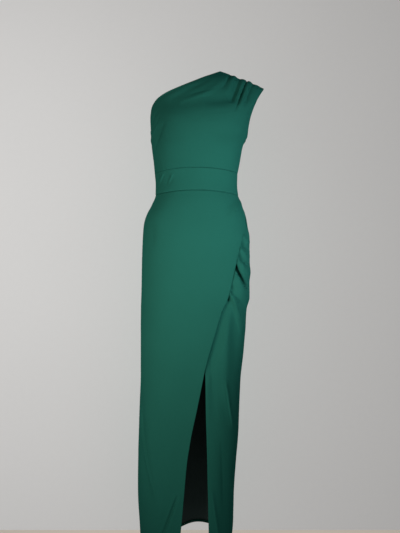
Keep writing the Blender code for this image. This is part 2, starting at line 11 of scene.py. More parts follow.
import bmesh
import bpy
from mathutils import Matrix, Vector
import numpy


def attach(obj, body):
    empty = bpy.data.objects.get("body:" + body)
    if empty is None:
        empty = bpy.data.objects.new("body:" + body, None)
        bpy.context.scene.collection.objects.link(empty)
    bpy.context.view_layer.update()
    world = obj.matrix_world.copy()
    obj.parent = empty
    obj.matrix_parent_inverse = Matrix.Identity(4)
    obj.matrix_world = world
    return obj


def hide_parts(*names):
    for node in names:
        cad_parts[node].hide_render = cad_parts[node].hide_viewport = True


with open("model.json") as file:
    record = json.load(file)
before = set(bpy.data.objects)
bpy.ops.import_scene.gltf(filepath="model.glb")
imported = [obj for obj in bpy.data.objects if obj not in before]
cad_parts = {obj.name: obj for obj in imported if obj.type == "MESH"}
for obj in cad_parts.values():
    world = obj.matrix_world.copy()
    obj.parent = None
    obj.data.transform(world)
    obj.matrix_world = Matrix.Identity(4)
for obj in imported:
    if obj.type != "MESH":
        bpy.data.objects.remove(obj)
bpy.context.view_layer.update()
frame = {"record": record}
CREPE = next(slot for slot in frame["record"]["materials"] if slot["slot"] == "crepe")

bl_info = {
    "name": "One-shoulder dress",
    "version": (1, 0, 0),
    "blender": (4, 5, 0),
    "location": "View3D > Sidebar > Dress",
    "description": "Sews the pieces of a one-shoulder dress and sets up a plain studio",
    "category": "Object",
}

# Heights of the level seams and the hem, and where the wrap begins and parts
BAND_TOP = -0.270
BAND_BOTTOM = -0.332
HEM = -1.338
LEFT_HEM_DROP = 0.008
HEM_EASE = 0.12
HEM_MIDDLE = -0.15
HEM_HALF_WIDTH = 0.14
SEAM_LIFT = 0.0020
SEAM_DIP = 0.0090
SEAM_MIDDLE = -0.132
SEAM_HALF_WIDTH = 0.12
DIP_TOP = -0.250
DIP_BOTTOM = -0.352
DIP_EASE = 0.06
SHOULDER_SEAM_Y = 0.004
LOW_BODICE = (BAND_TOP, -0.235, -0.198)
WRAP_START = -0.385
UNDERLAP_START = -0.360
SLIT_TOP = -0.828
WRAP_EASE = 0.02
SLIT_EASE = 0.05

# How the pieces meet: how far each one presses past a seam line, so that no slit shows, and how the
# wrap lies on the piece under it
SEAM_PRESS = 0.00012
SHOULDER_LEVEL = 0.005
SHOULDER_BLEND = 0.016
LAP_DEPTH = 0.0040
LAP_COVER = 0.005
LAP_RISE = 0.015
FOLD_START = 0.003
SEAM_FADE = 0.016
SOFT_PASSES = 90
SOFT_EDGE = 0.02
CREASE_FADE = 0.006

# Fineness of the sheets: rows and columns of each grid, where a skirt piece has rows for the hip
# and rows for the leg
BODICE_FRONT_GRID = (210, 190)
BODICE_BACK_GRID = (170, 140)
BAND_FRONT_GRID = (44, 220)
BAND_BACK_GRID = (44, 170)
OVERLAY_GRID = (150, 165, 122)
UNDERLAP_GRID = (210, 170, 96)
SKIRT_BACK_GRID = (140, 150, 132)
CURVE_SAMPLES = 721
FOLD_STEPS = 17
FOLD_TAPER = 0.6
FOLD_REACH = 3.2
HIP_END = -0.72
ROLL_ANGLES = (30, 60, 90, 120, 150, 180)
RETURN_SHARES = (0.3, 0.65, 1.0)
SHORTEST_RETURN = 0.0004
CORNER_SPREAD = 4.0
# Depth in a tuck at which painted shade begins, and the further depth over which it grows to full
TUCK_SHADE_START = 0.009
TUCK_SHADE_RANGE = 0.010
SAME_PLACE = 0.000002

# The worn outline at each height. left and right are the x of the side edges, front and back are
# how far the middle stands from the side edges, square is the power of the rounded corners, and
# seam_ahead is how far the left side seam lies in front of the widest place.
Section = namedtuple("Section", "height left right front back square seam_ahead")
SECTIONS = [
    Section(-0.198, -0.2612, 0.0014, 0.1160, 0.0980, 2.20, 0.000),
    Section(-0.235, -0.2556, -0.0063, 0.1010, 0.0900, 2.15, 0.000),
    Section(-0.270, -0.2524, -0.0133, 0.0900, 0.0830, 2.12, 0.000),
    Section(-0.301, -0.2500, -0.0140, 0.0860, 0.0820, 2.12, 0.000),
    Section(-0.332, -0.2505, -0.0108, 0.0880, 0.0860, 2.15, 0.000),
    Section(-0.357, -0.2609, -0.0017, 0.0930, 0.0960, 2.20, 0.000),
    Section(-0.391, -0.2754, 0.0099, 0.0990, 0.1070, 2.25, 0.000),
    Section(-0.426, -0.2841, 0.0162, 0.1040, 0.1150, 2.30, 0.004),
    Section(-0.461, -0.2870, 0.0215, 0.1075, 0.1205, 2.30, 0.008),
    Section(-0.530, -0.2895, 0.0220, 0.1100, 0.1240, 2.30, 0.010),
    Section(-0.560, -0.2900, 0.0247, 0.1102, 0.1235, 2.30, 0.009),
    Section(-0.590, -0.2905, 0.0215, 0.1102, 0.1225, 2.30, 0.008),
    Section(-0.632, -0.2915, 0.0215, 0.1095, 0.1200, 2.30, 0.004),
    Section(-0.665, -0.2925, 0.0132, 0.1085, 0.1175, 2.30, 0.002),
    Section(-0.722, -0.2928, 0.0099, 0.1070, 0.1140, 2.30, 0.000),
    Section(-0.791, -0.2928, 0.0041, 0.1060, 0.1120, 2.28, 0.000),
    Section(-0.861, -0.2930, -0.0038, 0.1060, 0.1115, 2.25, 0.002),
    Section(-0.930, -0.2957, -0.0075, 0.1065, 0.1120, 2.22, 0.008),
    Section(-1.017, -0.2986, -0.0106, 0.1075, 0.1140, 2.20, 0.018),
    Section(-1.104, -0.3006, -0.0176, 0.1085, 0.1165, 2.20, 0.026),
    Section(-1.191, -0.3010, -0.0234, 0.1095, 0.1190, 2.20, 0.028),
    Section(-1.278, -0.2960, -0.0256, 0.1100, 0.1210, 2.20, 0.020),
    Section(-1.345, -0.2925, -0.0308, 0.1105, 0.1225, 2.20, 0.012),
]

# Rows of the bodice above the level seams, from low to high. Each row runs from the left side
# seam or neckline to the right armhole. fullness is how far its middle stands out from the
# straight line between its ends, rise is how far its middle lifts, and ends is the power of its
# rounding: 1 makes a shallow arc, and 2 turns square to the sides.
Row = namedtuple("Row", "left_x left_y left_z right_x right_y right_z fullness rise ends")
FRONT_ROWS = [
    Row(-0.2616, 0.000, -0.192, 0.0034, -0.0150, -0.1905, 0.1105, 0.000, 2.2),
    Row(-0.2630, 0.000, -0.172, 0.0136, -0.0290, -0.1735, 0.1095, 0.000, 2.2),
    Row(-0.2645, 0.000, -0.145, 0.0162, -0.0385, -0.1500, 0.1093, 0.000, 2.15),
    Row(-0.2655, 0.000, -0.118, 0.0213, -0.0425, -0.1230, 0.1053, 0.000, 2.1),
    Row(-0.2618, 0.000, -0.084, 0.0310, -0.0430, -0.0935, 0.0890, 0.001, 2.0),
    Row(-0.2471, -0.035, -0.0690, 0.0378, -0.0430, -0.0780, 0.0640, 0.003, 1.6),
    Row(-0.2203, -0.060, -0.0549, 0.0432, -0.0410, -0.0660, 0.0450, 0.004, 1.35),
    Row(-0.1777, -0.073, -0.0385, 0.0499, -0.0340, -0.0530, 0.0300, 0.006, 1.15),
    Row(-0.1217, -0.062, -0.0132, 0.0568, -0.0210, -0.0408, 0.0190, 0.010, 1.0),
    Row(-0.0847, -0.035, 0.0066, 0.0599, -0.0120, -0.0345, 0.0105, 0.008, 1.0),
    Row(-0.0680, -0.014, 0.0175, 0.0620, -0.0060, -0.0308, 0.0060, 0.005, 1.0),
    Row(-0.0635, SHOULDER_SEAM_Y, 0.0215, 0.0630, SHOULDER_SEAM_Y, -0.0294, 0.0, 0.003, 1.0),
]
BACK_ROWS = [
    Row(-0.2616, 0.000, -0.192, 0.0034, 0.0150, -0.1905, 0.0915, 0.000, 2.2),
    Row(-0.2630, 0.000, -0.172, 0.0130, 0.0290, -0.1735, 0.0870, 0.000, 2.2),
    Row(-0.2645, 0.000, -0.145, 0.0150, 0.0385, -0.1500, 0.0853, 0.000, 2.15),
    Row(-0.2655, 0.000, -0.118, 0.0200, 0.0415, -0.1230, 0.0853, 0.000, 2.1),
    Row(-0.2618, 0.000, -0.084, 0.0275, 0.0420, -0.0935, 0.0850, 0.000, 2.0),
    Row(-0.2440, 0.045, -0.0805, 0.0338, 0.0440, -0.0780, 0.0600, 0.002, 1.6),
    Row(-0.2150, 0.070, -0.0720, 0.0392, 0.0440, -0.0660, 0.0460, 0.003, 1.35),
    Row(-0.1730, 0.084, -0.0560, 0.0468, 0.0380, -0.0530, 0.0340, 0.005, 1.15),
    Row(-0.1200, 0.076, -0.0300, 0.0547, 0.0250, -0.0408, 0.0210, 0.008, 1.0),
    Row(-0.0845, 0.046, -0.0010, 0.0592, 0.0180, -0.0345, 0.0110, 0.008, 1.0),
    Row(-0.0678, 0.022, 0.0155, 0.0620, 0.0130, -0.0308, 0.0060, 0.005, 1.0),
    Row(-0.0635, SHOULDER_SEAM_Y, 0.0215, 0.0630, SHOULDER_SEAM_Y, -0.0294, 0.0, 0.003, 1.0),
]

# The two edges of the wrap at each height: overlay is the x of the upper piece's slanting edge,
# underlap the x where the piece under it ends. They part at the top of the slit.
Wrap = namedtuple("Wrap", "height overlay underlap")
WRAP_EDGES = [
    Wrap(-0.368, 0.0010, -0.0200),
    Wrap(-0.385, 0.0072, -0.0150),
    Wrap(-0.405, 0.0088, -0.0135),
    Wrap(-0.425, 0.0070, -0.0155),
    Wrap(-0.446, 0.0022, -0.0190),
    Wrap(-0.478, -0.0056, -0.0260),
    Wrap(-0.513, -0.0144, -0.0335),
    Wrap(-0.576, -0.0291, -0.0475),
    Wrap(-0.615, -0.0379, -0.0560),
    Wrap(-0.635, -0.0440, -0.0620),
    Wrap(-0.671, -0.0605, -0.0770),
    Wrap(-0.727, -0.0778, -0.0930),
    Wrap(-0.787, -0.0955, -0.1040),
    Wrap(-0.825, -0.1054, -0.1066),
    Wrap(-0.842, -0.1093, -0.1074),
    Wrap(-0.878, -0.1164, -0.1072),
    Wrap(-0.944, -0.1300, -0.1062),
    Wrap(-1.020, -0.1462, -0.1040),
    Wrap(-1.092, -0.1572, -0.1020),
    Wrap(-1.185, -0.1655, -0.1005),
    Wrap(-1.273, -0.1735, -0.0985),
    Wrap(-1.345, -0.1800, -0.0965),
]

# Soft waves of the skirt's back hem: the x of each one's middle, its half width and how far it lifts
HemWave = namedtuple("HemWave", "x width lift")
BACK_HEM_WAVES = [
    HemWave(-0.128, 0.060, 0.0130),
    HemWave(-0.205, 0.042, -0.0110),
]

# Folds, seen from the front or the back: a curve from start by way of middle to end, its half
# width, and its height, which is below zero for a trough. open_start is 1 where a fold runs on
# into a seam at its start, so that it keeps its height there. These are the folds of the solids.
FOLD_PARTS = "start_x start_z mid_x mid_z end_x end_z width height open_start lean"
Fold = namedtuple("Fold", FOLD_PARTS, defaults=(0, 0.0))
SHOULDER_PLEATS = [
    Fold(-0.007, -0.001, -0.0200, -0.045, -0.0360, -0.092, 0.0088, -0.0116, 0.12, -0.35),
    Fold(0.020, -0.012, 0.0035, -0.054, -0.0120, -0.108, 0.0064, 0.0052, 0.2, 0.2),
    Fold(-0.022, 0.005, -0.0330, -0.026, -0.0470, -0.066, 0.0070, 0.0040, 0.2),
    Fold(-0.030, 0.008, -0.0430, -0.018, -0.0590, -0.050, 0.0060, -0.0034, 0.2),
    Fold(0.031, -0.019, 0.0165, -0.057, 0.0020, -0.100, 0.0052, -0.0040, 0.2),
    Fold(0.044, -0.024, 0.0340, -0.058, 0.0200, -0.104, 0.0085, 0.0028, 0.2),
]
BODICE_FRONT_FOLDS = [
    Fold(-0.056, -0.020, -0.1090, -0.0665, -0.1822, -0.087, 0.0100, 0.0056),
    Fold(-0.022, -0.068, -0.0560, -0.081, -0.1120, -0.088, 0.0160, -0.0074),
    Fold(-0.090, -0.014, -0.1450, -0.046, -0.2050, -0.076, 0.0090, -0.0036),
    Fold(-0.238, -0.128, -0.250, -0.158, -0.257, -0.188, 0.0065, 0.0040),
    Fold(-0.226, -0.146, -0.240, -0.180, -0.251, -0.216, 0.0060, -0.0040),
    Fold(-0.243, -0.102, -0.254, -0.126, -0.261, -0.152, 0.0060, -0.0036),
    Fold(-0.198, -0.116, -0.200, -0.150, -0.194, -0.186, 0.0420, 0.0022),
    Fold(-0.062, -0.122, -0.062, -0.152, -0.068, -0.188, 0.0420, 0.0022),
]
BODICE_BACK_FOLDS = [
    Fold(-0.130, -0.190, -0.132, -0.230, -0.134, -0.262, 0.0200, -0.0034),
    Fold(-0.070, -0.020, -0.110, -0.050, -0.160, -0.080, 0.0140, 0.0034),
    Fold(-0.030, -0.050, -0.062, -0.088, -0.112, -0.116, 0.0130, -0.0036),
    Fold(-0.216, -0.118, -0.196, -0.150, -0.170, -0.176, 0.0120, -0.0030),
    Fold(-0.010, -0.150, -0.036, -0.180, -0.066, -0.204, 0.0110, 0.0026),
]
BAND_FOLDS = [
    Fold(-0.236, -0.276, -0.243, -0.294, -0.248, -0.312, 0.0070, -0.0030),
    Fold(-0.204, -0.290, -0.211, -0.304, -0.217, -0.320, 0.0080, -0.0024),
]
OVERLAY_FOLDS = [
    Fold(-0.016, -0.345, -0.032, -0.368, -0.048, -0.400, 0.0090, -0.0042),
    Fold(-0.002, -0.350, -0.018, -0.380, -0.036, -0.418, 0.0090, 0.0042),
    Fold(-0.262, -0.420, -0.254, -0.452, -0.258, -0.490, 0.0090, -0.0020),
    Fold(-0.290, -0.900, -0.282, -1.040, -0.252, -1.220, 0.0120, -0.0064),
    Fold(-0.268, -0.940, -0.256, -1.080, -0.232, -1.240, 0.0160, 0.0038),
    Fold(-0.178, -1.165, -0.202, -1.228, -0.238, -1.325, 0.0130, 0.0054),
    Fold(-0.196, -1.185, -0.220, -1.248, -0.252, -1.330, 0.0120, -0.0056),
    Fold(-0.176, -1.020, -0.186, -1.140, -0.196, -1.260, 0.0160, -0.0020),
]
UNDERLAP_FOLDS = [
    Fold(-0.004, -0.456, 0.006, -0.466, 0.020, -0.480, 0.0070, 0.0046, 1),
    Fold(-0.004, -0.476, 0.006, -0.487, 0.019, -0.501, 0.0058, -0.0052, 1),
    Fold(-0.010, -0.492, 0.001, -0.505, 0.019, -0.522, 0.0076, 0.0054, 1),
    Fold(-0.013, -0.510, 0.000, -0.525, 0.017, -0.543, 0.0058, -0.0056, 1),
    Fold(-0.018, -0.524, -0.003, -0.545, 0.019, -0.570, 0.0080, 0.0064, 1),
    Fold(-0.0230, -0.537, -0.0070, -0.570, 0.0135, -0.607, 0.0050, -0.0080, 1),
    Fold(-0.026, -0.562, -0.012, -0.596, 0.010, -0.632, 0.0115, 0.0072, 1),
    Fold(-0.034, -0.600, -0.018, -0.630, 0.006, -0.656, 0.0065, -0.0044, 1),
    Fold(-0.040, -0.612, -0.022, -0.662, -0.004, -0.740, 0.0080, 0.0058, 1, 0.5),
    Fold(-0.034, -0.650, -0.022, -0.730, -0.022, -0.880, 0.0150, -0.0064),
    Fold(-0.044, -0.650, -0.050, -0.780, -0.054, -0.940, 0.0120, 0.0056),
    Fold(-0.027, -0.596, -0.0620, -0.725, -0.096, -0.850, 0.0115, -0.0125),
    Fold(-0.054, -0.860, -0.0443, -0.922, -0.0290, -1.005, 0.0090, 0.0042),
    Fold(-0.080, -0.740, -0.085, -0.860, -0.082, -0.980, 0.0110, -0.0034),
    Fold(-0.096, -1.150, -0.084, -1.230, -0.068, -1.310, 0.0110, 0.0040),
    Fold(-0.058, -1.030, -0.052, -1.150, -0.050, -1.290, 0.0150, -0.0040),
]
BACK_FOLDS = [
    Fold(-0.205, -0.640, -0.215, -0.800, -0.225, -1.000, 0.0200, -0.0050),
    Fold(-0.100, -0.620, -0.092, -0.800, -0.084, -1.020, 0.0220, -0.0056),
    Fold(-0.150, -0.700, -0.158, -0.900, -0.170, -1.200, 0.0240, 0.0054),
    Fold(-0.060, -0.860, -0.066, -1.020, -0.078, -1.260, 0.0180, 0.0046),
    Fold(-0.250, -0.940, -0.246, -1.100, -0.236, -1.300, 0.0180, 0.0048),
    Fold(-0.020, -0.372, -0.040, -0.396, -0.064, -0.420, 0.0110, -0.0026),
    Fold(-0.246, -0.376, -0.222, -0.396, -0.190, -0.412, 0.0110, -0.0024),
    Fold(-0.010, -0.520, -0.046, -0.560, -0.098, -0.580, 0.0140, -0.0034),
    Fold(-0.270, -0.560, -0.236, -0.590, -0.190, -0.602, 0.0150, -0.0030),
    Fold(-0.118, -1.060, -0.112, -1.180, -0.104, -1.310, 0.0170, -0.0048),
]

# Finer creases that only the cloth has. lean moves a crease's gentle side to the viewer's right
# of a line that runs down, from -1 to 1, and leaves its steep side on the other.
PLEAT_CREASES = [
    Fold(0.0130, -0.008, -0.0040, -0.056, -0.0270, -0.118, 0.0026, -0.0096, 0.15, 0.35),
    Fold(0.0050, -0.004, -0.0080, -0.040, -0.0220, -0.078, 0.0024, 0.0016, 0.15),
    Fold(0.0300, -0.017, 0.0170, -0.050, 0.0030, -0.098, 0.0024, -0.0024, 0.15, 0.2),
    Fold(-0.0330, 0.008, -0.0450, -0.020, -0.0600, -0.052, 0.0028, -0.0022, 0.15, -0.3),
    Fold(-0.0100, -0.004, -0.0280, -0.048, -0.0400, -0.084, 0.0030, 0.0016, 0.15),
    Fold(0.0190, -0.010, 0.0110, -0.034, 0.0020, -0.062, 0.0016, -0.0016, 0.15),
]
BODICE_FRONT_CREASES = [
    Fold(-0.2200, -0.142, -0.2380, -0.180, -0.2530, -0.222, 0.0030, -0.0044, 0, 0.4),
    Fold(-0.2350, -0.120, -0.2490, -0.148, -0.2610, -0.176, 0.0028, -0.0040, 0, 0.4),
    Fold(-0.2420, -0.140, -0.2540, -0.166, -0.2640, -0.192, 0.0034, 0.0032),
    Fold(-0.2460, -0.106, -0.2560, -0.131, -0.2650, -0.154, 0.0028, -0.0036),
    Fold(-0.2420, -0.116, -0.2530, -0.140, -0.2650, -0.164, 0.0030, 0.0030),
    Fold(-0.2380, -0.190, -0.2470, -0.212, -0.2550, -0.236, 0.0034, 0.0016),
    Fold(-0.0700, -0.046, -0.1060, -0.056, -0.1480, -0.066, 0.0036, -0.0012),
    Fold(-0.0860, -0.072, -0.1280, -0.080, -0.1720, -0.094, 0.0040, -0.0010),
    Fold(0.0190, -0.118, 0.0100, -0.142, 0.0020, -0.176, 0.0050, -0.0010),
    Fold(0.0060, -0.200, -0.0040, -0.216, -0.0180, -0.230, 0.0040, -0.0007),
]
BODICE_BACK_CREASES = [
    Fold(-0.2440, -0.118, -0.2340, -0.150, -0.2280, -0.190, 0.0050, -0.0012),
    Fold(-0.2500, -0.150, -0.2420, -0.176, -0.2360, -0.206, 0.0040, 0.0010),
    Fold(0.0040, -0.180, -0.0100, -0.205, -0.0240, -0.236, 0.0050, -0.0010),
    Fold(0.0220, -0.100, 0.0020, -0.124, -0.0160, -0.158, 0.0060, -0.0012),
    Fold(-0.0480, -0.004, -0.0700, -0.040, -0.0980, -0.082, 0.0040, -0.0014, 1),
]
BAND_CREASES = [
    Fold(-0.2230, -0.280, -0.2300, -0.292, -0.2400, -0.312, 0.0032, 0.0036, 0, -0.4),
    Fold(-0.1970, -0.284, -0.2030, -0.297, -0.2120, -0.314, 0.0032, 0.0030, 0, -0.4),
    Fold(-0.2380, -0.282, -0.2420, -0.298, -0.2480, -0.318, 0.0034, -0.0026),
]
OVERLAY_CREASES = [
    Fold(-0.2550, -0.455, -0.2530, -0.462, -0.2500, -0.470, 0.0018, -0.0009),
    Fold(-0.2870, -0.940, -0.2760, -1.050, -0.2430, -1.190, 0.0040, 0.0090, 0, -0.6),
    Fold(-0.1840, -1.172, -0.2080, -1.232, -0.2440, -1.326, 0.0040, -0.0110, 0, 0.6),
    Fold(-0.0100, -0.358, -0.0230, -0.384, -0.0380, -0.414, 0.0036, -0.0018),
    Fold(-0.2480, -0.345, -0.2560, -0.362, -0.2660, -0.384, 0.0040, -0.0008),
]
# How many of the underlap's first creases, its deepest tucks, get painted shade
UNDERLAP_SHADED_TUCKS = 2
UNDERLAP_CREASES = [
    Fold(-0.0230, -0.5370, -0.0070, -0.5700, 0.0140, -0.6070, 0.0028, -0.0280, 1),
    Fold(-0.0450, -0.6150, -0.0420, -0.6270, -0.0380, -0.6430, 0.0026, -0.0190, 1),
    Fold(-0.0040, -0.4760, 0.0060, -0.4870, 0.0180, -0.5000, 0.0024, -0.0034, 1, 0.3),
    Fold(-0.0130, -0.5100, 0.0000, -0.5250, 0.0150, -0.5410, 0.0026, -0.0038, 1, 0.3),
    Fold(-0.0400, -0.6080, -0.0240, -0.6500, -0.0050, -0.7000, 0.0026, 0.0020, 1),
    Fold(-0.0280, -0.6200, -0.0060, -0.6380, 0.0090, -0.6440, 0.0026, -0.0024),
    Fold(-0.0200, -0.5840, -0.0020, -0.6000, 0.0140, -0.6120, 0.0040, 0.0014),
    Fold(-0.0530, -0.8600, -0.0443, -0.9222, -0.0300, -0.9990, 0.0032, 0.0034, 0, 0.5),
    Fold(-0.0860, -0.7600, -0.0900, -0.8300, -0.0880, -0.9000, 0.0040, -0.0012),
    Fold(-0.0900, -1.1600, -0.0800, -1.2400, -0.0680, -1.3200, 0.0036, 0.0024, 0, 0.4),
    Fold(-0.0640, -1.0200, -0.0580, -1.1200, -0.0560, -1.2200, 0.0040, -0.0012),
]
BACK_CREASES = [
    Fold(-0.2440, -0.350, -0.2300, -0.372, -0.2100, -0.392, 0.0040, -0.0014),
    Fold(-0.0100, -0.440, -0.0240, -0.456, -0.0440, -0.466, 0.0050, -0.0016),
    Fold(-0.0060, -0.540, -0.0300, -0.562, -0.0620, -0.570, 0.0050, -0.0018),
    Fold(-0.2720, -0.548, -0.2500, -0.572, -0.2240, -0.584, 0.0050, -0.0014),
    Fold(-0.0900, -0.760, -0.0880, -0.860, -0.0840, -0.960, 0.0050, -0.0014),
    Fold(-0.1660, -1.020, -0.1710, -1.120, -0.1760, -1.220, 0.0056, 0.0016),
]

# Uneven ripples of the cloth, as long waves: the run of each wave across and down, its length, its
# height and where it starts.
Ripple = namedtuple("Ripple", "across down length height start")
CLOTH_RIPPLES = [
    Ripple(1.00, 0.20, 0.083, 0.00012, 0.4),
    Ripple(0.75, -0.55, 0.061, 0.00010, 1.9),
    Ripple(0.25, 1.00, 0.107, 0.00010, 3.1),
    Ripple(-0.60, 0.85, 0.049, 0.00006, 5.0),
]
PUCKER_WAVES = [
    Ripple(1.00, 0.00, 0.0113, 0.40, 0.3),
    Ripple(1.00, 0.00, 0.0171, 0.35, 2.2),
    Ripple(1.00, 0.00, 0.0287, 0.25, 4.1),
]

# How each kind of edge is turned under: the settings of its allowance and of its roll
TURNS = {
    "seam": ("seam_allowance", "seam_roll"),
    "waist": ("seam_allowance", "waist_roll"),
    "edge": ("seam_allowance", "hem_roll"),
    "hem": ("hem_depth", "hem_roll"),
}

# The sides at the two ends of each side of a sheet, and the corners in the order round it
SIDE_ENDS = {
    "left": ("top", "bottom"),
    "right": ("top", "bottom"),
    "top": ("left", "right"),
    "bottom": ("left", "right"),
}
CORNERS = (("top", "left"), ("left", "bottom"), ("bottom", "right"), ("right", "top"))

# The cut of each piece before sewing: width and length of the rectangle that it is cut from, its
# own flat area, how it is held and what it hangs from
Cut = namedtuple("Cut", "width length area held hangs_from")

# How fine the unevenness of the crepe is, as shapes a metre, how its sheen is tinted, and how dark the
# shade painted into its deepest tucks is
PEBBLES = 1500.0
THREAD_DRIFT = 420.0
FLECKS = 160.0
CRINKLES = 46.0
MOTTLING = 7.0
CRINKLE_DEPTH = 0.0006
SHEEN_SPREAD = 0.45
SHEEN_TINT = (0.06, 0.62, 0.54, 1.0)
TUCK_PAINTED_SHADE = 0.04
INSIDE_PEBBLES = 1300.0
INSIDE_MOTTLING = 9.0

# How fine the unevenness of the studio's paint is, as shapes a metre
PAINT_PATCHES = 1.3
FLOOR_SPECKLE = 90.0
BACKDROP_SPECKLE = 60.0

# The camera stands level in front of the dress, at the height of the hips
CAMERA_PLACE = (-0.1217, -2.1, -0.5435)
CAMERA_LENS = 48.94
CAMERA_SENSOR = 36.0

# The floor is a wide slab, and the backdrop a wall whose top leans back
FLOOR_WIDTH = 9.0
FLOOR_HEIGHT = -1.3855
FLOOR_THICKNESS = 0.03
BACKDROP_WIDTH = 2.6
BACKDROP_Y = 0.216
LEAN_UP = 0.2
LEAN_BACK = 0.3
TOUCH = 0.001

# Soft lights: where each stands, what it looks at, its width and height, and its spread in degrees
SoftLight = namedtuple("SoftLight", "name place target width height spread")
KEY_LIGHT = SoftLight("key", (1.38, -1.42, -0.70), (-0.07, 0.0, -0.33), 0.8, 0.4, 33.0)
SIDE_LIGHT = SoftLight("side", (-1.15, -1.75, -0.72), (-0.16, 0.0, -0.60), 1.0, 0.4, 58.0)
LOW_LIGHT = SoftLight("low", (1.35, -1.30, -1.08), (-0.09, 0.0, -1.08), 0.6, 0.8, 34.0)
BACK_LEFT_LIGHT = SoftLight("back_left", (-0.85, 2.5, 0.2), (-0.13, 0.0, -0.6), 1.2, 1.8, 120.0)
BACK_RIGHT_LIGHT = SoftLight("back_right", (0.6, 2.5, 0.2), (-0.13, 0.0, -0.6), 1.2, 1.8, 120.0)
WALL_LIGHT = SoftLight("wall", (-1.3, -2.0, -0.2), (-0.5, BACKDROP_Y, -0.5), 1.2, 1.6, 116.0)
BACK_SHARE = 0.45
COOL_LIGHT = (0.97, 1.0, 1.03)
WARM_LIGHT = (1.2, 1.0, 0.9)
SURROUNDINGS_SEEN = (0.62, 0.61, 0.60, 1.0)
SURROUNDINGS_LIGHT = (1.0, 0.99, 0.97, 1.0)


def length_of(name, description, default, low, high):
    """A length that a user can set."""
    return bpy.props.FloatProperty(
        name=name, description=description, default=default, min=low, max=high,
        subtype="DISTANCE", unit="LENGTH", precision=5)


def share_of(name, description, default, high=1.0):
    """A strength from none upwards that a user can set."""
    return bpy.props.FloatProperty(
        name=name, description=description, default=default, min=0.0, max=high, subtype="FACTOR")


def power_of(name, description, default):
    """The power of a light that a user can set."""
    return bpy.props.FloatProperty(
        name=name, description=description, default=default, min=0.0, max=500.0, unit="POWER")


def colour_of(name, description, default):
    """A colour that a user can set."""
    return bpy.props.FloatVectorProperty(
        name=name, description=description, default=default, size=3, min=0.0, max=1.0, subtype="COLOR")


class DressSizes(bpy.types.PropertyGroup):
    """Sizes of the cloth and of its sewing."""

    thickness: length_of(
        "Cloth thickness", "Thickness of one layer of crepe", 0.0007, 0.0003, 0.0015)
    seam_roll: length_of(
        "Seam roll", "Radius of the turn where a seam is pressed open", 0.0021, 0.0005, 0.003)
    waist_roll: length_of(
        "Waist roll", "Radius of the turn where the skirt is set in", 0.0034, 0.0005, 0.004)
    hem_roll: length_of(
        "Hem roll", "Radius of the turn at a hem or a free edge", 0.0011, 0.0005, 0.003)
    seam_allowance: length_of(
        "Seam allowance", "Width turned under beside each seam", 0.010, 0.002, 0.03)
    hem_depth: length_of(
        "Hem depth", "Width turned up inside the lower edge of the skirt", 0.007, 0.003, 0.06)
    pucker: length_of(
        "Seam pucker", "Height of the small waves that the thread draws beside a seam", 0.00022, 0.0, 0.001)
    pucker_reach: length_of(
        "Pucker reach", "How far the small waves reach from a seam", 0.008, 0.002, 0.03)
    crease_depth: share_of(
        "Crease depth", "Share of the hand-placed creases' heights that is used", 1.0, 1.5)


class CrepeLooks(bpy.types.PropertyGroup):
    """Colour, sheen and grain of the crepe."""

    colour: colour_of(
        "Colour", "Colour of the cloth's right side", CREPE["base_color"])
    inside_colour: colour_of(
        "Inside colour", "Colour of the cloth's wrong side", (0.094, 0.140, 0.132))
    roughness: share_of(
        "Roughness", "Roughness of the cloth's right side", 0.56)
    sheen: share_of(
        "Sheen", "Strength of the soft sheen at glancing angles", 0.10)
    thread_pitch: length_of(
        "Thread pitch", "Distance from one thread of the weave to the next", 0.00042, 0.0002, 0.002)
    grain_depth: length_of(
        "Grain depth", "Depth of the crepe's pebbled grain", 0.00009, 0.0, 0.001)


class StudioLooks(bpy.types.PropertyGroup):
    """Strengths and colours of the plain studio."""

    key_power: power_of("Key light", "Power of the soft light in front at the right", 1.65)
    side_power: power_of("Side light", "Power of the soft light in front at the left", 3.3)
    low_power: power_of("Low light", "Power of the weak soft light low at the right", 0.14)
    back_power: power_of(
        "Back lights", "Power of the left light behind, of which the right one has a share", 17.0)
    wall_power: power_of("Backdrop light", "Power of the light on the backdrop", 15.0)
    fill: share_of(
        "Fill", "Strength of the even light from all round", 0.115, 2.0)
    glow: share_of(
        "Stage glow", "How far the floor and the backdrop light themselves", 0.28, 2.0)
    wall_colour: colour_of(
        "Backdrop colour", "Colour of the plain wall behind the dress", (0.66, 0.65, 0.64))
    floor_colour: colour_of(
        "Floor colour", "Colour of the plain floor", (0.64, 0.57, 0.49))


class Number:
    """A number that varies over a surface, so that a material's maths reads as plain sums."""

    def __init__(self, finish, socket):
        self.finish = finish
        self.socket = socket

    def __add__(self, other):
        return self.finish.maths("ADD", self, other)

    def __radd__(self, other):
        return self.finish.maths("ADD", other, self)

    def __sub__(self, other):
        return self.finish.maths("SUBTRACT", self, other)

    def __rsub__(self, other):
        return self.finish.maths("SUBTRACT", other, self)

    def __mul__(self, other):
        return self.finish.maths("MULTIPLY", self, other)

    def __rmul__(self, other):
        return self.finish.maths("MULTIPLY", other, self)


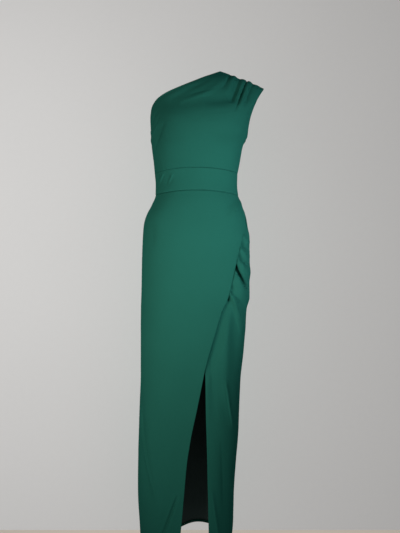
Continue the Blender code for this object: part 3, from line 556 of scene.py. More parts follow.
class Finish:
    """A material being made: one method adds any node, and the others are short forms of it."""

    def __init__(self, name):
        self.material = bpy.data.materials.new(name)
        self.material.use_nodes = True
        self.tree = self.material.node_tree
        self.shader = self.tree.nodes["Principled BSDF"]

    def add(self, kind, settings, values):
        """A node of this kind, with its settings made first and then its sockets filled."""
        node = self.tree.nodes.new(kind)
        for name, setting in settings.items():
            setattr(node, name, setting)
        for socket, value in values.items():
            self.fill(node.inputs[socket], value)
        return node

    def fill(self, socket, value):
        """Links a value that varies to a socket, or sets a constant on it."""
        if isinstance(value, Number):
            self.tree.links.new(value.socket, socket)
        elif isinstance(value, bpy.types.NodeSocket):
            self.tree.links.new(value, socket)
        else:
            socket.default_value = value

    def maths(self, operation, first, second=0.0):
        """A sum of two numbers."""
        node = self.add("ShaderNodeMath", {"operation": operation}, {0: first, 1: second})
        return Number(self, node.outputs[0])

    def sine(self, value):
        """The sine of a number."""
        return self.maths("SINE", value)

    def noise(self, place, scale, detail=2.0):
        """Soft noise from 0 to 1 at a place."""
        node = self.add("ShaderNodeTexNoise", {}, {"Vector": place, "Scale": scale, "Detail": detail})
        return Number(self, node.outputs["Fac"])

    def place(self):
        """The place on the object."""
        return self.add("ShaderNodeTexCoord", {}, {}).outputs["Object"]

    def bump(self, strength, distance, height, **under):
        """The normal of a surface with small heights on it, over another Normal if one is given."""
        values = {"Strength": strength, "Distance": distance, "Height": height, **under}
        return self.add("ShaderNodeBump", {}, values).outputs["Normal"]

    def blend(self, share, first, second):
        """A colour between two."""
        node = self.add("ShaderNodeMix", {"data_type": "RGBA"}, {0: share, 6: first, 7: second})
        return node.outputs[2]

    def set_shader(self, **values):
        """Sets sockets of the main shader, named with underscores for their spaces."""
        for name, value in values.items():
            self.fill(self.shader.inputs[name.replace("_", " ").title()], value)


def steady_slopes(stops, values):
    """Slopes at the stops of a smooth curve that never swings past its own values."""
    steps = numpy.diff(stops).reshape((-1,) + (1,) * (values.ndim - 1))
    rates = numpy.diff(values, axis=0) / steps
    slopes = numpy.empty_like(values)
    slopes[0] = rates[0]
    slopes[-1] = rates[-1]
    before = rates[:-1]
    after = rates[1:]
    same_way = before * after > 0
    total = numpy.where(same_way, before + after, 1.0)
    slopes[1:-1] = numpy.where(same_way, 2.0 * before * after / total, 0.0)
    return slopes


def smooth_between(stops, values, places):
    """Values at the places on a smooth curve through the values at the stops."""
    stops = numpy.asarray(stops, dtype=float)
    values = numpy.asarray(values, dtype=float)
    places = numpy.clip(numpy.asarray(places, dtype=float), stops[0], stops[-1])
    slopes = steady_slopes(stops, values)
    low = numpy.clip(numpy.searchsorted(stops, places, side="right") - 1, 0, len(stops) - 2)
    step = stops[low + 1] - stops[low]
    along = (places - stops[low]) / step
    shape = numpy.shape(places) + (1,) * (values.ndim - 1)
    step = numpy.reshape(step, shape)
    along = numpy.reshape(along, shape)
    from_low = values[low] * (1 + 2 * along) * (1 - along) ** 2
    from_high = values[low + 1] * along ** 2 * (3 - 2 * along)
    from_slopes = step * along * (1 - along) * (slopes[low] * (1 - along) - slopes[low + 1] * along)
    return from_low + from_high + from_slopes


def eased(share):
    """A share kept from 0 to 1, with soft ends."""
    share = numpy.clip(share, 0, 1)
    return share * share * (3 - 2 * share)


def at_height(table, height):
    """The row that a table of sizes has at any height, between the rows that it lists downwards."""
    rows = table[::-1]
    heights = [row.height for row in rows]
    return type(table[0])(*smooth_between(heights, rows, height))


def signed_power(value, power):
    """A power that keeps the sign of its base."""
    return numpy.sign(value) * numpy.abs(value) ** power


def ring_points(section, start, end):
    """Points round a section from one turn to another: 0 is the front, a quarter turn the right."""
    turns = numpy.linspace(start, end, CURVE_SAMPLES)
    middle = (section.left + section.right) / 2
    half_width = (section.right - section.left) / 2
    ahead = numpy.cos(turns)
    depth = numpy.where(ahead > 0, section.front, section.back)
    x = middle + half_width * signed_power(numpy.sin(turns), 2 / section.square)
    y = -depth * signed_power(ahead, 2 / section.square)
    return numpy.stack([x, y, numpy.full_like(x, section.height)], axis=1)


def left_seam_turn(section):
    """The turn at which the left side seam stands."""
    return -math.acos((section.seam_ahead / section.front) ** (section.square / 2))


def turn_at_x(section, x):
    """The turn at which the front of a section reaches an x."""
    middle = (section.left + section.right) / 2
    half_width = (section.right - section.left) / 2
    share = min(1.0, max(-1.0, (x - middle) / half_width))
    return math.asin(math.copysign(abs(share) ** (section.square / 2), share))


def run_along(points, axis=0):
    """How far each point lies from the first one, measured along its own line of points."""
    run = numpy.linalg.norm(numpy.diff(points, axis=axis), axis=-1).cumsum(axis=axis)
    return numpy.concatenate([numpy.zeros_like(run.take([0], axis=axis)), run], axis=axis)


def spread(points, columns, inset):
    """Points evenly spaced along a curve, between places inset from its two ends."""
    along = run_along(points)
    places = numpy.linspace(inset, along[-1] - inset, columns)
    return numpy.stack([numpy.interp(places, along, points[:, axis]) for axis in range(3)], axis=1)


def row_points(row, facing):
    """Points along a bodice row from left to right; facing is -1 in front and 1 behind."""
    turns = numpy.linspace(-math.pi / 2, math.pi / 2, CURVE_SAMPLES)
    corner = max(2.0, row.ends)
    share = (1 + signed_power(numpy.sin(turns), 2 / corner)) / 2
    arch = numpy.cos(turns).clip(0, 1) ** (2 / row.ends)
    x = row.left_x + (row.right_x - row.left_x) * share
    y = row.left_y + (row.right_y - row.left_y) * share + facing * row.fullness * arch
    z = row.left_z + (row.right_z - row.left_z) * share + row.rise * arch
    return numpy.stack([x, y, z], axis=1)


def hem_share(points):
    """From 0 well above the hem to 1 at it."""
    return ((HEM + HEM_EASE - points[:, :, 2]) / HEM_EASE).clip(0, 1) ** 2


def hem_shaped(points):
    """A skirt piece with its last rows let down towards the left, as the hem hangs."""
    drop = LEFT_HEM_DROP * ((HEM_MIDDLE - points[:, :, 0]) / HEM_HALF_WIDTH)
    points[:, :, 2] -= hem_share(points) * drop
    return points


def seams_dipped(points):
    """Points with the waist's level seams let down towards the sides, as they hang when worn."""
    past_top = (points[:, :, 2] - DIP_TOP) / DIP_EASE
    past_bottom = (DIP_BOTTOM - points[:, :, 2]) / DIP_EASE
    near = 1 - eased(numpy.maximum(past_top, past_bottom))
    sideways = (points[:, :, 0] - SEAM_MIDDLE) / SEAM_HALF_WIDTH
    points[:, :, 2] += near * (SEAM_LIFT - SEAM_DIP * sideways ** 2)
    return points


def back_hem_waved(points):
    """The skirt's back with its hem lifted and dropped in soft waves."""
    ease = hem_share(points)
    for wave in BACK_HEM_WAVES:
        points[:, :, 2] += ease * wave.lift * numpy.exp(-(((points[:, :, 0] - wave.x) / wave.width) ** 2))
    return points


def surface_normals(points):
    """Unit normals of a grid of points, out of the side where its columns run to the right."""
    across = numpy.gradient(points, axis=1)
    down = numpy.gradient(points, axis=0)
    normals = numpy.cross(down, across)
    return normals / numpy.linalg.norm(normals, axis=2, keepdims=True)


def bend(start, middle, end, places):
    """Values along a smooth bend that passes through its middle."""
    control = 2 * middle - (start + end) / 2
    return (1 - places) ** 2 * start + 2 * places * (1 - places) * control + places ** 2 * end


def fold_lift(places_x, places_z, fold):
    """How far one fold lifts the cloth at places seen from the front or back."""
    steps = numpy.linspace(0, 1, FOLD_STEPS)
    path_x = bend(fold.start_x, fold.mid_x, fold.end_x, steps)
    path_z = bend(fold.start_z, fold.mid_z, fold.end_z, steps)
    best = numpy.full(places_x.shape, numpy.inf)
    best_along = numpy.zeros(places_x.shape)
    best_side = numpy.zeros(places_x.shape)
    for step in range(FOLD_STEPS - 1):
        run_x = path_x[step + 1] - path_x[step]
        run_z = path_z[step + 1] - path_z[step]
        reach_x = places_x - path_x[step]
        reach_z = places_z - path_z[step]
        share = ((reach_x * run_x + reach_z * run_z) / (run_x ** 2 + run_z ** 2)).clip(0, 1)
        apart = numpy.hypot(reach_x - share * run_x, reach_z - share * run_z)
        nearer = apart < best
        best = numpy.where(nearer, apart, best)
        best_along = numpy.where(nearer, (step + share) / (FOLD_STEPS - 1), best_along)
        best_side = numpy.where(nearer, numpy.sign(run_x * reach_z - run_z * reach_x), best_side)
    rising = numpy.maximum(numpy.sin(math.pi * best_along / 2), fold.open_start)
    taper = (rising * numpy.cos(math.pi * best_along / 2)) ** FOLD_TAPER
    width = fold.width * (1 + fold.lean * best_side)
    return fold.height * taper * numpy.exp(-((best / width) ** 2))


def fold_heights(points, folds):
    """How far the folds lift a grid of points, worked out as they look from the front or back."""
    lift = numpy.zeros(points.shape[:2])
    for fold in folds:
        reach = fold.width * (1 + abs(fold.lean)) * FOLD_REACH
        low_x = min(fold.start_x, fold.mid_x, fold.end_x) - reach
        high_x = max(fold.start_x, fold.mid_x, fold.end_x) + reach
        low_z = min(fold.start_z, fold.mid_z, fold.end_z) - reach
        high_z = max(fold.start_z, fold.mid_z, fold.end_z) + reach
        near = (points[:, :, 0] > low_x) & (points[:, :, 0] < high_x)
        near &= (points[:, :, 2] > low_z) & (points[:, :, 2] < high_z)
        lift[near] += fold_lift(points[:, :, 0][near], points[:, :, 2][near], fold)
    return lift


def edge_distances(points):
    """Distances of a grid's points from its left, right, top and bottom edges."""
    across = run_along(points, axis=1)
    down = run_along(points)
    return {"left": across, "right": across[:, -1:] - across, "top": down, "bottom": down[-1:] - down}


def edge_fade(points, sides, reach):
    """From 0 on the chosen sides of a grid to 1 further in, so that sewn edges keep meeting."""
    distances = edge_distances(points)
    fade = numpy.ones(points.shape[:2])
    for side in sides:
        fade *= eased(distances[side] / reach)
    return fade


def waves(across, down, ripples):
    """Uneven waves from a few plain ones of different lengths."""
    height = numpy.zeros(across.shape)
    for ripple in ripples:
        run = (ripple.across * across + ripple.down * down) / ripple.length
        height += ripple.height * numpy.sin(2 * math.pi * run + ripple.start)
    return height


def puckers(points, seams, sizes):
    """Small uneven waves that the thread draws beside the sewn sides of a piece."""
    distances = edge_distances(points)
    height = numpy.zeros(points.shape[:2])
    for side in seams:
        along = distances["top"] if side in ("left", "right") else distances["left"]
        near = numpy.exp(-((distances[side] / sizes.pucker_reach) ** 2))
        height += near * waves(along, along, PUCKER_WAVES) * sizes.pucker
    return height


def lifted(points, height):
    """A grid of points moved along its own normals."""
    return points + surface_normals(points) * height[:, :, None]


def creased(points, folds, creases, faded, seams):
    """A grid of points with its folds, finer creases, ripples and seam puckers."""
    sizes = bpy.context.scene.dress_sizes
    points = lifted(points, fold_heights(points, folds) * edge_fade(points, faded, SEAM_FADE))
    fine = fold_heights(points, creases) * sizes.crease_depth
    distances = edge_distances(points)
    fine += waves(distances["left"], distances["top"], CLOTH_RIPPLES)
    fine *= edge_fade(points, faded, CREASE_FADE)
    return lifted(points, fine + puckers(points, seams, sizes))


def along_lines(lines, distances, wanted):
    """Values at a wanted distance down each line of a grid; wanted has one number a line."""
    found = numpy.empty((lines.shape[1], lines.shape[2]))
    for line in range(lines.shape[1]):
        for axis in range(lines.shape[2]):
            found[line, axis] = numpy.interp(wanted[line], distances[:, line], lines[:, line, axis])
    return found


def turned_under(points, normals, allowance, roll, end_rolls):
    """Rows that carry a sheet's edge round a small roll and back under it.

    The grid comes with its edge as the first row and its next rows further in. end_rolls are the
    rolls of the sides at the edge's two ends, towards which the rows spread to fill the corners.
    """
    outwards = points[0] - points[1]
    outwards -= normals[0] * (outwards * normals[0]).sum(axis=1, keepdims=True)
    outwards /= numpy.linalg.norm(outwards, axis=1, keepdims=True)
    edge = run_along(points[0])
    to_start = (end_rolls[0] - edge / CORNER_SPREAD).clip(0, None)
    to_end = (end_rolls[1] - (edge[-1] - edge) / CORNER_SPREAD).clip(0, None)
    along = numpy.gradient(points[0], axis=0)
    along /= numpy.linalg.norm(along, axis=1, keepdims=True)
    reach = outwards * roll + along * (to_end - to_start)[:, None]
    rows = []
    for angle in numpy.radians(ROLL_ANGLES):
        drop = normals[0] * roll * (1 - math.cos(angle))
        rows.append(points[0] + reach * math.sin(angle) - drop)
    inwards = run_along(points)
    mitre = numpy.minimum(edge, edge[-1] - edge)
    depth = numpy.clip(mitre, SHORTEST_RETURN, allowance)
    for share in RETURN_SHARES:
        place = along_lines(points, inwards, depth * share)
        normal = along_lines(normals, inwards, depth * share)
        rows.append(place - normal * 2 * roll)
    return numpy.array(rows)


def grid_faces(numbers):
    """Faces between the vertex numbers of a grid, wound to face out of it."""
    corners = (numbers[:-1, :-1], numbers[1:, :-1], numbers[1:, 1:], numbers[:-1, 1:])
    return numpy.stack([corner.ravel() for corner in corners], axis=1)


def corner_faces(first, second):
    """Faces that close the corner between the turned rows of two neighbouring sides."""
    return numpy.stack([first[:-1], first[1:], second[1:], second[:-1]], axis=1)


def side_first(grid, side):
    """The grid turned so that its first row is the named side."""
    if side == "left":
        return grid.swapaxes(0, 1)
    if side == "right":
        return grid[:, ::-1].swapaxes(0, 1)
    if side == "top":
        return grid
    return grid[::-1]


def sewn_mesh(name, points, turns):
    """A mesh of a sheet and of the allowances turned under it; turns gives each side's two sizes."""
    rows, columns = points.shape[:2]
    normals = surface_normals(points)
    numbers = numpy.arange(rows * columns).reshape(rows, columns)
    distances = edge_distances(points)
    cloth = numpy.stack([distances["left"], distances["top"]], axis=2)
    places = [points.reshape(-1, 3)]
    flat = [cloth.reshape(-1, 2)]
    faces = [grid_faces(numbers)]
    used = rows * columns
    strips = {}
    for side, (allowance, roll) in turns.items():
        end_rolls = [turns[end][1] if end in turns else 0.0 for end in SIDE_ENDS[side]]
        strip = turned_under(
            side_first(points, side), side_first(normals, side), allowance, roll, end_rolls)
        count = strip.shape[0] * strip.shape[1]
        strip_numbers = numpy.arange(used, used + count).reshape(strip.shape[:2])
        used += count
        places.append(strip.reshape(-1, 3))
        flat.append(turned_flat(side_first(cloth, side), strip, side_first(points, side)).reshape(-1, 2))
        ladder = numpy.concatenate([side_first(numbers, side)[:1], strip_numbers])
        strips[side] = ladder
        faces.append(grid_faces(as_grid(ladder, side)))
    for first, second in CORNERS:
        if first in strips and second in strips:
            first_line = corner_line(strips, first, second)
            second_line = corner_line(strips, second, first)
            faces.append(corner_faces(first_line, second_line))
    mesh = bpy.data.meshes.new(name)
    corners = numpy.concatenate(places)
    mesh.from_pydata(corners.tolist(), [], numpy.concatenate(faces).tolist())
    write_flat(mesh, numpy.concatenate(flat))
    joined = bmesh.new()
    joined.from_mesh(mesh)
    bmesh.ops.remove_doubles(joined, verts=joined.verts, dist=SAME_PLACE)
    joined.to_mesh(mesh)
    joined.free()
    return mesh


def turned_flat(cloth, strip, points):
    """Flat places of turned rows: the edge's own, carried on outwards."""
    outwards = cloth[0] - cloth[1]
    outwards /= numpy.linalg.norm(outwards, axis=1, keepdims=True)
    run = run_along(numpy.concatenate([points[:1], strip]))[1:]
    return cloth[0] + outwards * run[:, :, None]


def as_grid(ladder, side):
    """Turned rows as a grid whose columns run to the right and whose rows run down."""
    if side == "left":
        return ladder[::-1].swapaxes(0, 1)
    if side == "right":
        return ladder.swapaxes(0, 1)
    if side == "top":
        return ladder[::-1]
    return ladder


def corner_line(strips, side, other):
    """The end of one side's turned rows at the corner that it shares with another side."""
    at_start = other in ("left", "top")
    return strips[side][:, 0 if at_start else -1]


def write_flat(mesh, flat):
    """The cloth's flat places as its UV map, in metres."""
    layer = mesh.uv_layers.new(name="cloth")
    loops = numpy.empty(len(mesh.loops), dtype=int)
    mesh.loops.foreach_get("vertex_index", loops)
    layer.data.foreach_set("uv", flat[loops].ravel())


def write_tuck_shade(mesh, folds):
    """How deep each point lies in a tuck, from 0 outside it to 1, which darkens the cloth's colour as
    painted shade.
    """
    places = numpy.empty(len(mesh.vertices) * 3)
    mesh.vertices.foreach_get("co", places)
    sunk = -fold_heights(places.reshape(1, -1, 3), folds)[0]
    layer = mesh.attributes.new("tuck_shade_mask", "FLOAT", "POINT")
    layer.data.foreach_set("value", ((sunk - TUCK_SHADE_START) / TUCK_SHADE_RANGE).clip(0, 1))


def sew(node, points, turns, finishes, shaded_tucks=()):
    """A finished piece of cloth that stands for one node of the frame; the deepest parts of the given tucks
    get painted shade.
    """
    sizes = bpy.context.scene.dress_sizes
    name = "crepe_" + node
    piece = bpy.data.objects.new(name, sewn_mesh(name, points, turns))
    bpy.context.scene.collection.objects.link(piece)
    for finish in finishes:
        piece.data.materials.append(finish)
    piece.data.shade_smooth()
    # Painted shade: marks how far down the deepest tucks each point lies
    write_tuck_shade(piece.data, shaded_tucks)
    wall = piece.modifiers.new("cloth", "SOLIDIFY")
    wall.thickness = sizes.thickness
    wall.offset = -1.0
    wall.use_rim = True
    wall.material_offset = 1
    bpy.ops.object.select_all(action="DESELECT")
    bpy.context.view_layer.objects.active = piece
    piece.select_set(True)
    bpy.ops.object.modifier_apply(modifier=wall.name)
    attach(piece, "root")
    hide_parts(node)
    return piece


def turn_of(kind):
    """Allowance and roll of a kind of edge."""
    allowance, roll = TURNS[kind]
    sizes = bpy.context.scene.dress_sizes
    return getattr(sizes, allowance), getattr(sizes, roll)


def side_turns(**kinds):
    """Allowance and roll of each side that is turned under, from the kind of its edge."""
    return {side: turn_of(kind) for side, kind in kinds.items()}


def inset_of(kind):
    """How far a sheet's own edge stops short of its line, so that its roll just passes the line."""
    return turn_of(kind)[1] - SEAM_PRESS


def bodice_points(rows, columns, stations, inset):
    """The grid of a bodice panel, from its shoulder seam down to the waistband."""
    back = rows is BACK_ROWS
    curves = []
    for height in LOW_BODICE:
        section = at_height(SECTIONS, height)
        turns = (math.pi * 1.5, math.pi / 2) if back else (-math.pi / 2, math.pi / 2)
        curves.append(spread(ring_points(section, *turns), columns, inset))
    facing = 1 if back else -1
    curves += [spread(row_points(row, facing), columns, inset) for row in rows]
    known, wanted = stations
    points = smooth_between(known, numpy.array(curves), wanted)
    from_seam = (known[-1] - wanted)[:, None]
    level = numpy.repeat(curves[-1][None], len(wanted), axis=0)
    level[:, :, 1] += facing * from_seam
    share = eased((from_seam - SHOULDER_LEVEL) / SHOULDER_BLEND)[:, :, None]
    points = level * (1 - share) + points * share
    return seams_dipped(softened(points[::-1]))


def softened(points):
    """A bodice grid with its level changes of slope evened out, away from its edges."""
    even = points.copy()
    for _ in range(SOFT_PASSES):
        even[1:-1] = even[1:-1] / 2 + (even[:-2] + even[2:]) / 4
    share = edge_fade(points, ("left", "right", "top", "bottom"), SOFT_EDGE)[:, :, None]
    return points * (1 - share) + even * share


def bodice_stations(rows, inset):
    """Where the bodice's known rows lie, and where its rows of faces go, as lengths up the front."""
    middles = [(-at_height(SECTIONS, height).front, height) for height in LOW_BODICE]
    for row in FRONT_ROWS:
        middle = row_points(row, -1)[CURVE_SAMPLES // 2]
        middles.append((middle[1], middle[2]))
    known = run_along(numpy.array(middles))
    return known, numpy.linspace(inset, known[-1] - inset, rows)


def ring_grid(heights, turns_at, columns, inset):
    """A grid of level rows, each between the two turns that its section gives."""
    rows = []
    for height in heights:
        section = at_height(SECTIONS, height)
        start, end = turns_at(section)
        rows.append(spread(ring_points(section, start, end), columns, inset))
    return numpy.array(rows)


def skirt_heights(top, grid):
    """Heights of a skirt piece's rows: close together at the hip and wider apart below it."""
    hip = numpy.linspace(top, HIP_END, grid[0])
    leg = numpy.linspace(HIP_END, HEM + turn_of("hem")[1], grid[1])
    return numpy.concatenate([hip, leg[1:]])


def skirt_points(heights, grid, turns_at):
    """The grid of a skirt piece from its top to the hem."""
    return seams_dipped(hem_shaped(ring_grid(heights, turns_at, grid[2], inset_of("seam"))))


def front_turns(section):
    """From the left side seam round the front to the right side seam."""
    return left_seam_turn(section), math.pi / 2


def back_turns(section):
    """From the right side seam round the back to the left side seam."""
    return math.pi / 2, 2 * math.pi + left_seam_turn(section)


def overlay_turns(section):
    """From the left side seam to the slanting wrap edge."""
    if section.height > WRAP_START:
        return front_turns(section)
    return left_seam_turn(section), turn_at_x(section, at_height(WRAP_EDGES, section.height).overlay)


def underlap_turns(section):
    """From the underlap's own edge to the right side seam."""
    return turn_at_x(section, at_height(WRAP_EDGES, section.height).underlap), math.pi / 2


def crepe_finishes():
    """The two sides of the crepe."""
    found = [bpy.data.materials.get(name) for name in ("crepe_cloth", "crepe_inside")]
    return found if all(found) else [crepe_right_side(), crepe_wrong_side()]


def colour_times(colour, share):
    """A colour made lighter or darker, as the four numbers that a socket takes."""
    return [min(1.0, channel * share) for channel in colour] + [1.0]


def crepe_right_side():
    """Smooth stretch crepe: a pebbled grain over a fine weave, a soft sheen, quiet mottling and shade
    painted into the deepest tucks.
    """
    looks = bpy.context.scene.crepe_looks
    crepe = Finish("crepe_cloth")
    place = crepe.place()
    flat = crepe.add("ShaderNodeUVMap", {"uv_map": "cloth"}, {}).outputs["UV"]
    parts = crepe.add("ShaderNodeSeparateXYZ", {}, {"Vector": flat})
    across = Number(crepe, parts.outputs["X"])
    down = Number(crepe, parts.outputs["Y"])
    turn = 2 * math.pi / looks.thread_pitch
    drift = crepe.noise(place, THREAD_DRIFT)
    warp = crepe.sine(across * turn + drift * 2.4)
    weft = crepe.sine(down * turn + drift * 3.1)
    pebbles = crepe.noise(place, PEBBLES)
    grain = (warp * weft) * 0.35 + pebbles * 1.2
    crinkle = crepe.noise(place, CRINKLES)
    mottle = crepe.noise(place, MOTTLING)
    shade = mottle * 0.55 + crepe.noise(place, FLECKS) * 0.30 + pebbles * 0.15
    colour = crepe.blend(shade, colour_times(looks.colour, 0.88), colour_times(looks.colour, 1.12))
    # Painted shade: the cloth colour darkens towards the bottom of deep tucks, where shade falls
    tuck_shade_mask = crepe.add("ShaderNodeAttribute", {"attribute_name": "tuck_shade_mask"}, {}).outputs["Fac"]
    colour = crepe.blend(tuck_shade_mask, colour, colour_times(looks.colour, TUCK_PAINTED_SHADE))
    fine = crepe.bump(0.55, looks.grain_depth, grain)
    crepe.set_shader(
        Base_Color=colour,
        Roughness=looks.roughness + 0.10 * (mottle - 0.5) + 0.06 * (pebbles - 0.5),
        Normal=crepe.bump(0.25, CRINKLE_DEPTH, crinkle, Normal=fine),
        Sheen_Weight=looks.sheen,
        Sheen_Roughness=SHEEN_SPREAD,
        Sheen_Tint=SHEEN_TINT,
    )
    crepe.shader.inputs["Specular IOR Level"].default_value = 0.0
    return crepe.material


def crepe_wrong_side():
    """The wrong side, which is a duller and greyer green and quite matt."""
    looks = bpy.context.scene.crepe_looks
    inside = Finish("crepe_inside")
    place = inside.place()
    pebbles = inside.noise(place, INSIDE_PEBBLES)
    mottle = inside.noise(place, INSIDE_MOTTLING)
    colour = inside.blend(
        mottle, colour_times(looks.inside_colour, 0.8), colour_times(looks.inside_colour, 1.2))
    inside.set_shader(
        Base_Color=colour,
        Roughness=0.82 + 0.08 * (pebbles - 0.5),
        Normal=inside.bump(0.6, looks.grain_depth, pebbles),
        Sheen_Weight=0.05,
    )
    inside.shader.inputs["Specular IOR Level"].default_value = 0.0
    return inside.material


class DRESS_OT_bodice(bpy.types.Operator):
    """Sew the front and back of the bodice, with the pleats that run over the shoulder"""

    bl_idname = "dress.bodice"
    bl_label = "Bodice"

    def execute(self, context):
        sides = side_turns(left="edge", right="edge", top="seam", bottom="seam")
        panels = (
            ("bodice_front", FRONT_ROWS, BODICE_FRONT_GRID, BODICE_FRONT_FOLDS, BODICE_FRONT_CREASES),
            ("bodice_back", BACK_ROWS, BODICE_BACK_GRID, BODICE_BACK_FOLDS, BODICE_BACK_CREASES),
        )
        for node, known_rows, (rows, columns), folds, creases in panels:
            stations = bodice_stations(rows, inset_of("seam"))
            points = bodice_points(known_rows, columns, stations, inset_of("edge"))
            if known_rows is BACK_ROWS:
                points = points[:, ::-1]
            points = creased(
                points, SHOULDER_PLEATS + folds, PLEAT_CREASES + creases,
                ("left", "right", "bottom"), ("top", "bottom"))
            sew(node, points, sides, crepe_finishes())
        return {"FINISHED"}


class DRESS_OT_waistband(bpy.types.Operator):
    """Sew the two halves of the shaped waistband"""

    bl_idname = "dress.waistband"
    bl_label = "Waistband"

    def execute(self, context):
        sides = side_turns(left="seam", right="seam", top="seam", bottom="waist")
        halves = (
            ("waistband_front", BAND_FRONT_GRID, front_turns, BAND_FOLDS, BAND_CREASES),
            ("waistband_back", BAND_BACK_GRID, back_turns, [], []),
        )
        for node, (rows, columns), turns_at, folds, creases in halves:
            heights = numpy.linspace(BAND_TOP - inset_of("seam"), BAND_BOTTOM + inset_of("waist"), rows)
            points = seams_dipped(ring_grid(heights, turns_at, columns, inset_of("seam")))
            points = creased(points, folds, creases, tuple(sides), ("top", "bottom"))
            sew(node, points, sides, crepe_finishes())
        return {"FINISHED"}


class DRESS_OT_skirt_overlay(bpy.types.Operator):
    """Sew the wrap-over front of the skirt"""

    bl_idname = "dress.skirt_overlay"
    bl_label = "Skirt overlay"

    def execute(self, context):
        heights = skirt_heights(BAND_BOTTOM - inset_of("waist"), OVERLAY_GRID)
        points = skirt_points(heights, OVERLAY_GRID, overlay_turns)
        points = creased(points, OVERLAY_FOLDS, OVERLAY_CREASES, ("left", "top"), ("left", "top"))
        sides = side_turns(left="seam", right="edge", top="waist", bottom="hem")
        sew("skirt_overlay", points, sides, crepe_finishes())
        return {"FINISHED"}


class DRESS_OT_skirt_underlap(bpy.types.Operator):
    """Sew the gathered front of the skirt that lies under the wrap"""

    bl_idname = "dress.skirt_underlap"
    bl_label = "Skirt underlap"

    def execute(self, context):
        sizes = context.scene.dress_sizes
        heights = skirt_heights(UNDERLAP_START, UNDERLAP_GRID)
        points = skirt_points(heights, UNDERLAP_GRID, underlap_turns)
        points = lifted(points, self.lift(points, heights, sizes))
        sides = side_turns(left="edge", right="seam", bottom="hem")
        sew("skirt_underlap", points, sides, crepe_finishes(), UNDERLAP_CREASES[:UNDERLAP_SHADED_TUCKS])
        return {"FINISHED"}

    def lift(self, points, heights, sizes):
        """The gathers, and how far the piece is sunk where the wrap lies on it."""
        wrap_x = numpy.array([at_height(WRAP_EDGES, height).overlay for height in heights])[:, None]
        past_edge = points[:, :, 0] - wrap_x
        covered = eased(1 - (past_edge - LAP_COVER) / LAP_RISE)
        above_wrap = (heights[:, None] - WRAP_START + WRAP_EASE) / WRAP_EASE
        covered = numpy.maximum(covered, above_wrap).clip(0, 1)
        covered *= ((heights[:, None] - SLIT_TOP + SLIT_EASE) / SLIT_EASE).clip(0, 1)
        uncovered = (past_edge / FOLD_START).clip(0, 1)
        below_slit = ((SLIT_TOP - heights[:, None]) / SLIT_EASE).clip(0, 1)
        gathers = fold_heights(points, UNDERLAP_FOLDS) * edge_fade(points, ("right",), SEAM_FADE)
        fine = fold_heights(points, UNDERLAP_CREASES) * edge_fade(points, ("right",), CREASE_FADE)
        gathers += fine * sizes.crease_depth
        distances = edge_distances(points)
        gathers += waves(distances["left"], distances["top"], CLOTH_RIPPLES)
        gathers += puckers(points, ("right",), sizes)
        return gathers * numpy.maximum(uncovered, below_slit) - covered * LAP_DEPTH


class DRESS_OT_skirt_back(bpy.types.Operator):
    """Sew the back of the skirt"""

    bl_idname = "dress.skirt_back"
    bl_label = "Skirt back"

    def execute(self, context):
        heights = skirt_heights(BAND_BOTTOM - inset_of("waist"), SKIRT_BACK_GRID)
        points = skirt_points(heights, SKIRT_BACK_GRID, back_turns)
        points = back_hem_waved(points)
        points = creased(
            points, BACK_FOLDS, BACK_CREASES, ("left", "right", "top"), ("left", "right", "top"))
        sides = side_turns(left="seam", right="seam", top="waist", bottom="hem")
        sew("skirt_back", points, sides, crepe_finishes())
        return {"FINISHED"}


def aimed(place, target):
    """The turn of a light or camera at a place that looks at a target."""
    return (Vector(target) - Vector(place)).to_track_quat("-Z", "Y").to_euler()


def soft_light(wanted, power):
    """A soft rectangular light."""
    turn = aimed(wanted.place, wanted.target)
    bpy.ops.object.light_add(type="AREA", location=wanted.place, rotation=turn)
    light = bpy.context.object
    light.name = wanted.name
    light.data.shape = "RECTANGLE"
    light.data.size = wanted.width
    light.data.size_y = wanted.height
    light.data.energy = power
    light.data.spread = math.radians(wanted.spread)
    return light


def plain_paint(name, colour, speckle, glow):
    """Matt paint with a faint unevenness, lit from within by its glow so that it stays pale."""
    paint = Finish(name)
    place = paint.place()
    patches = paint.noise(place, PAINT_PATCHES)
    grain = paint.noise(place, speckle)
    shade = patches * 0.7 + grain * 0.3
    tone = paint.blend(shade, colour_times(colour, 0.96), colour_times(colour, 1.04))
    paint.set_shader(Base_Color=tone, Roughness=0.88 + 0.05 * (grain - 0.5), Emission_Color=tone)
    paint.shader.inputs["Emission Strength"].default_value = glow
    return paint


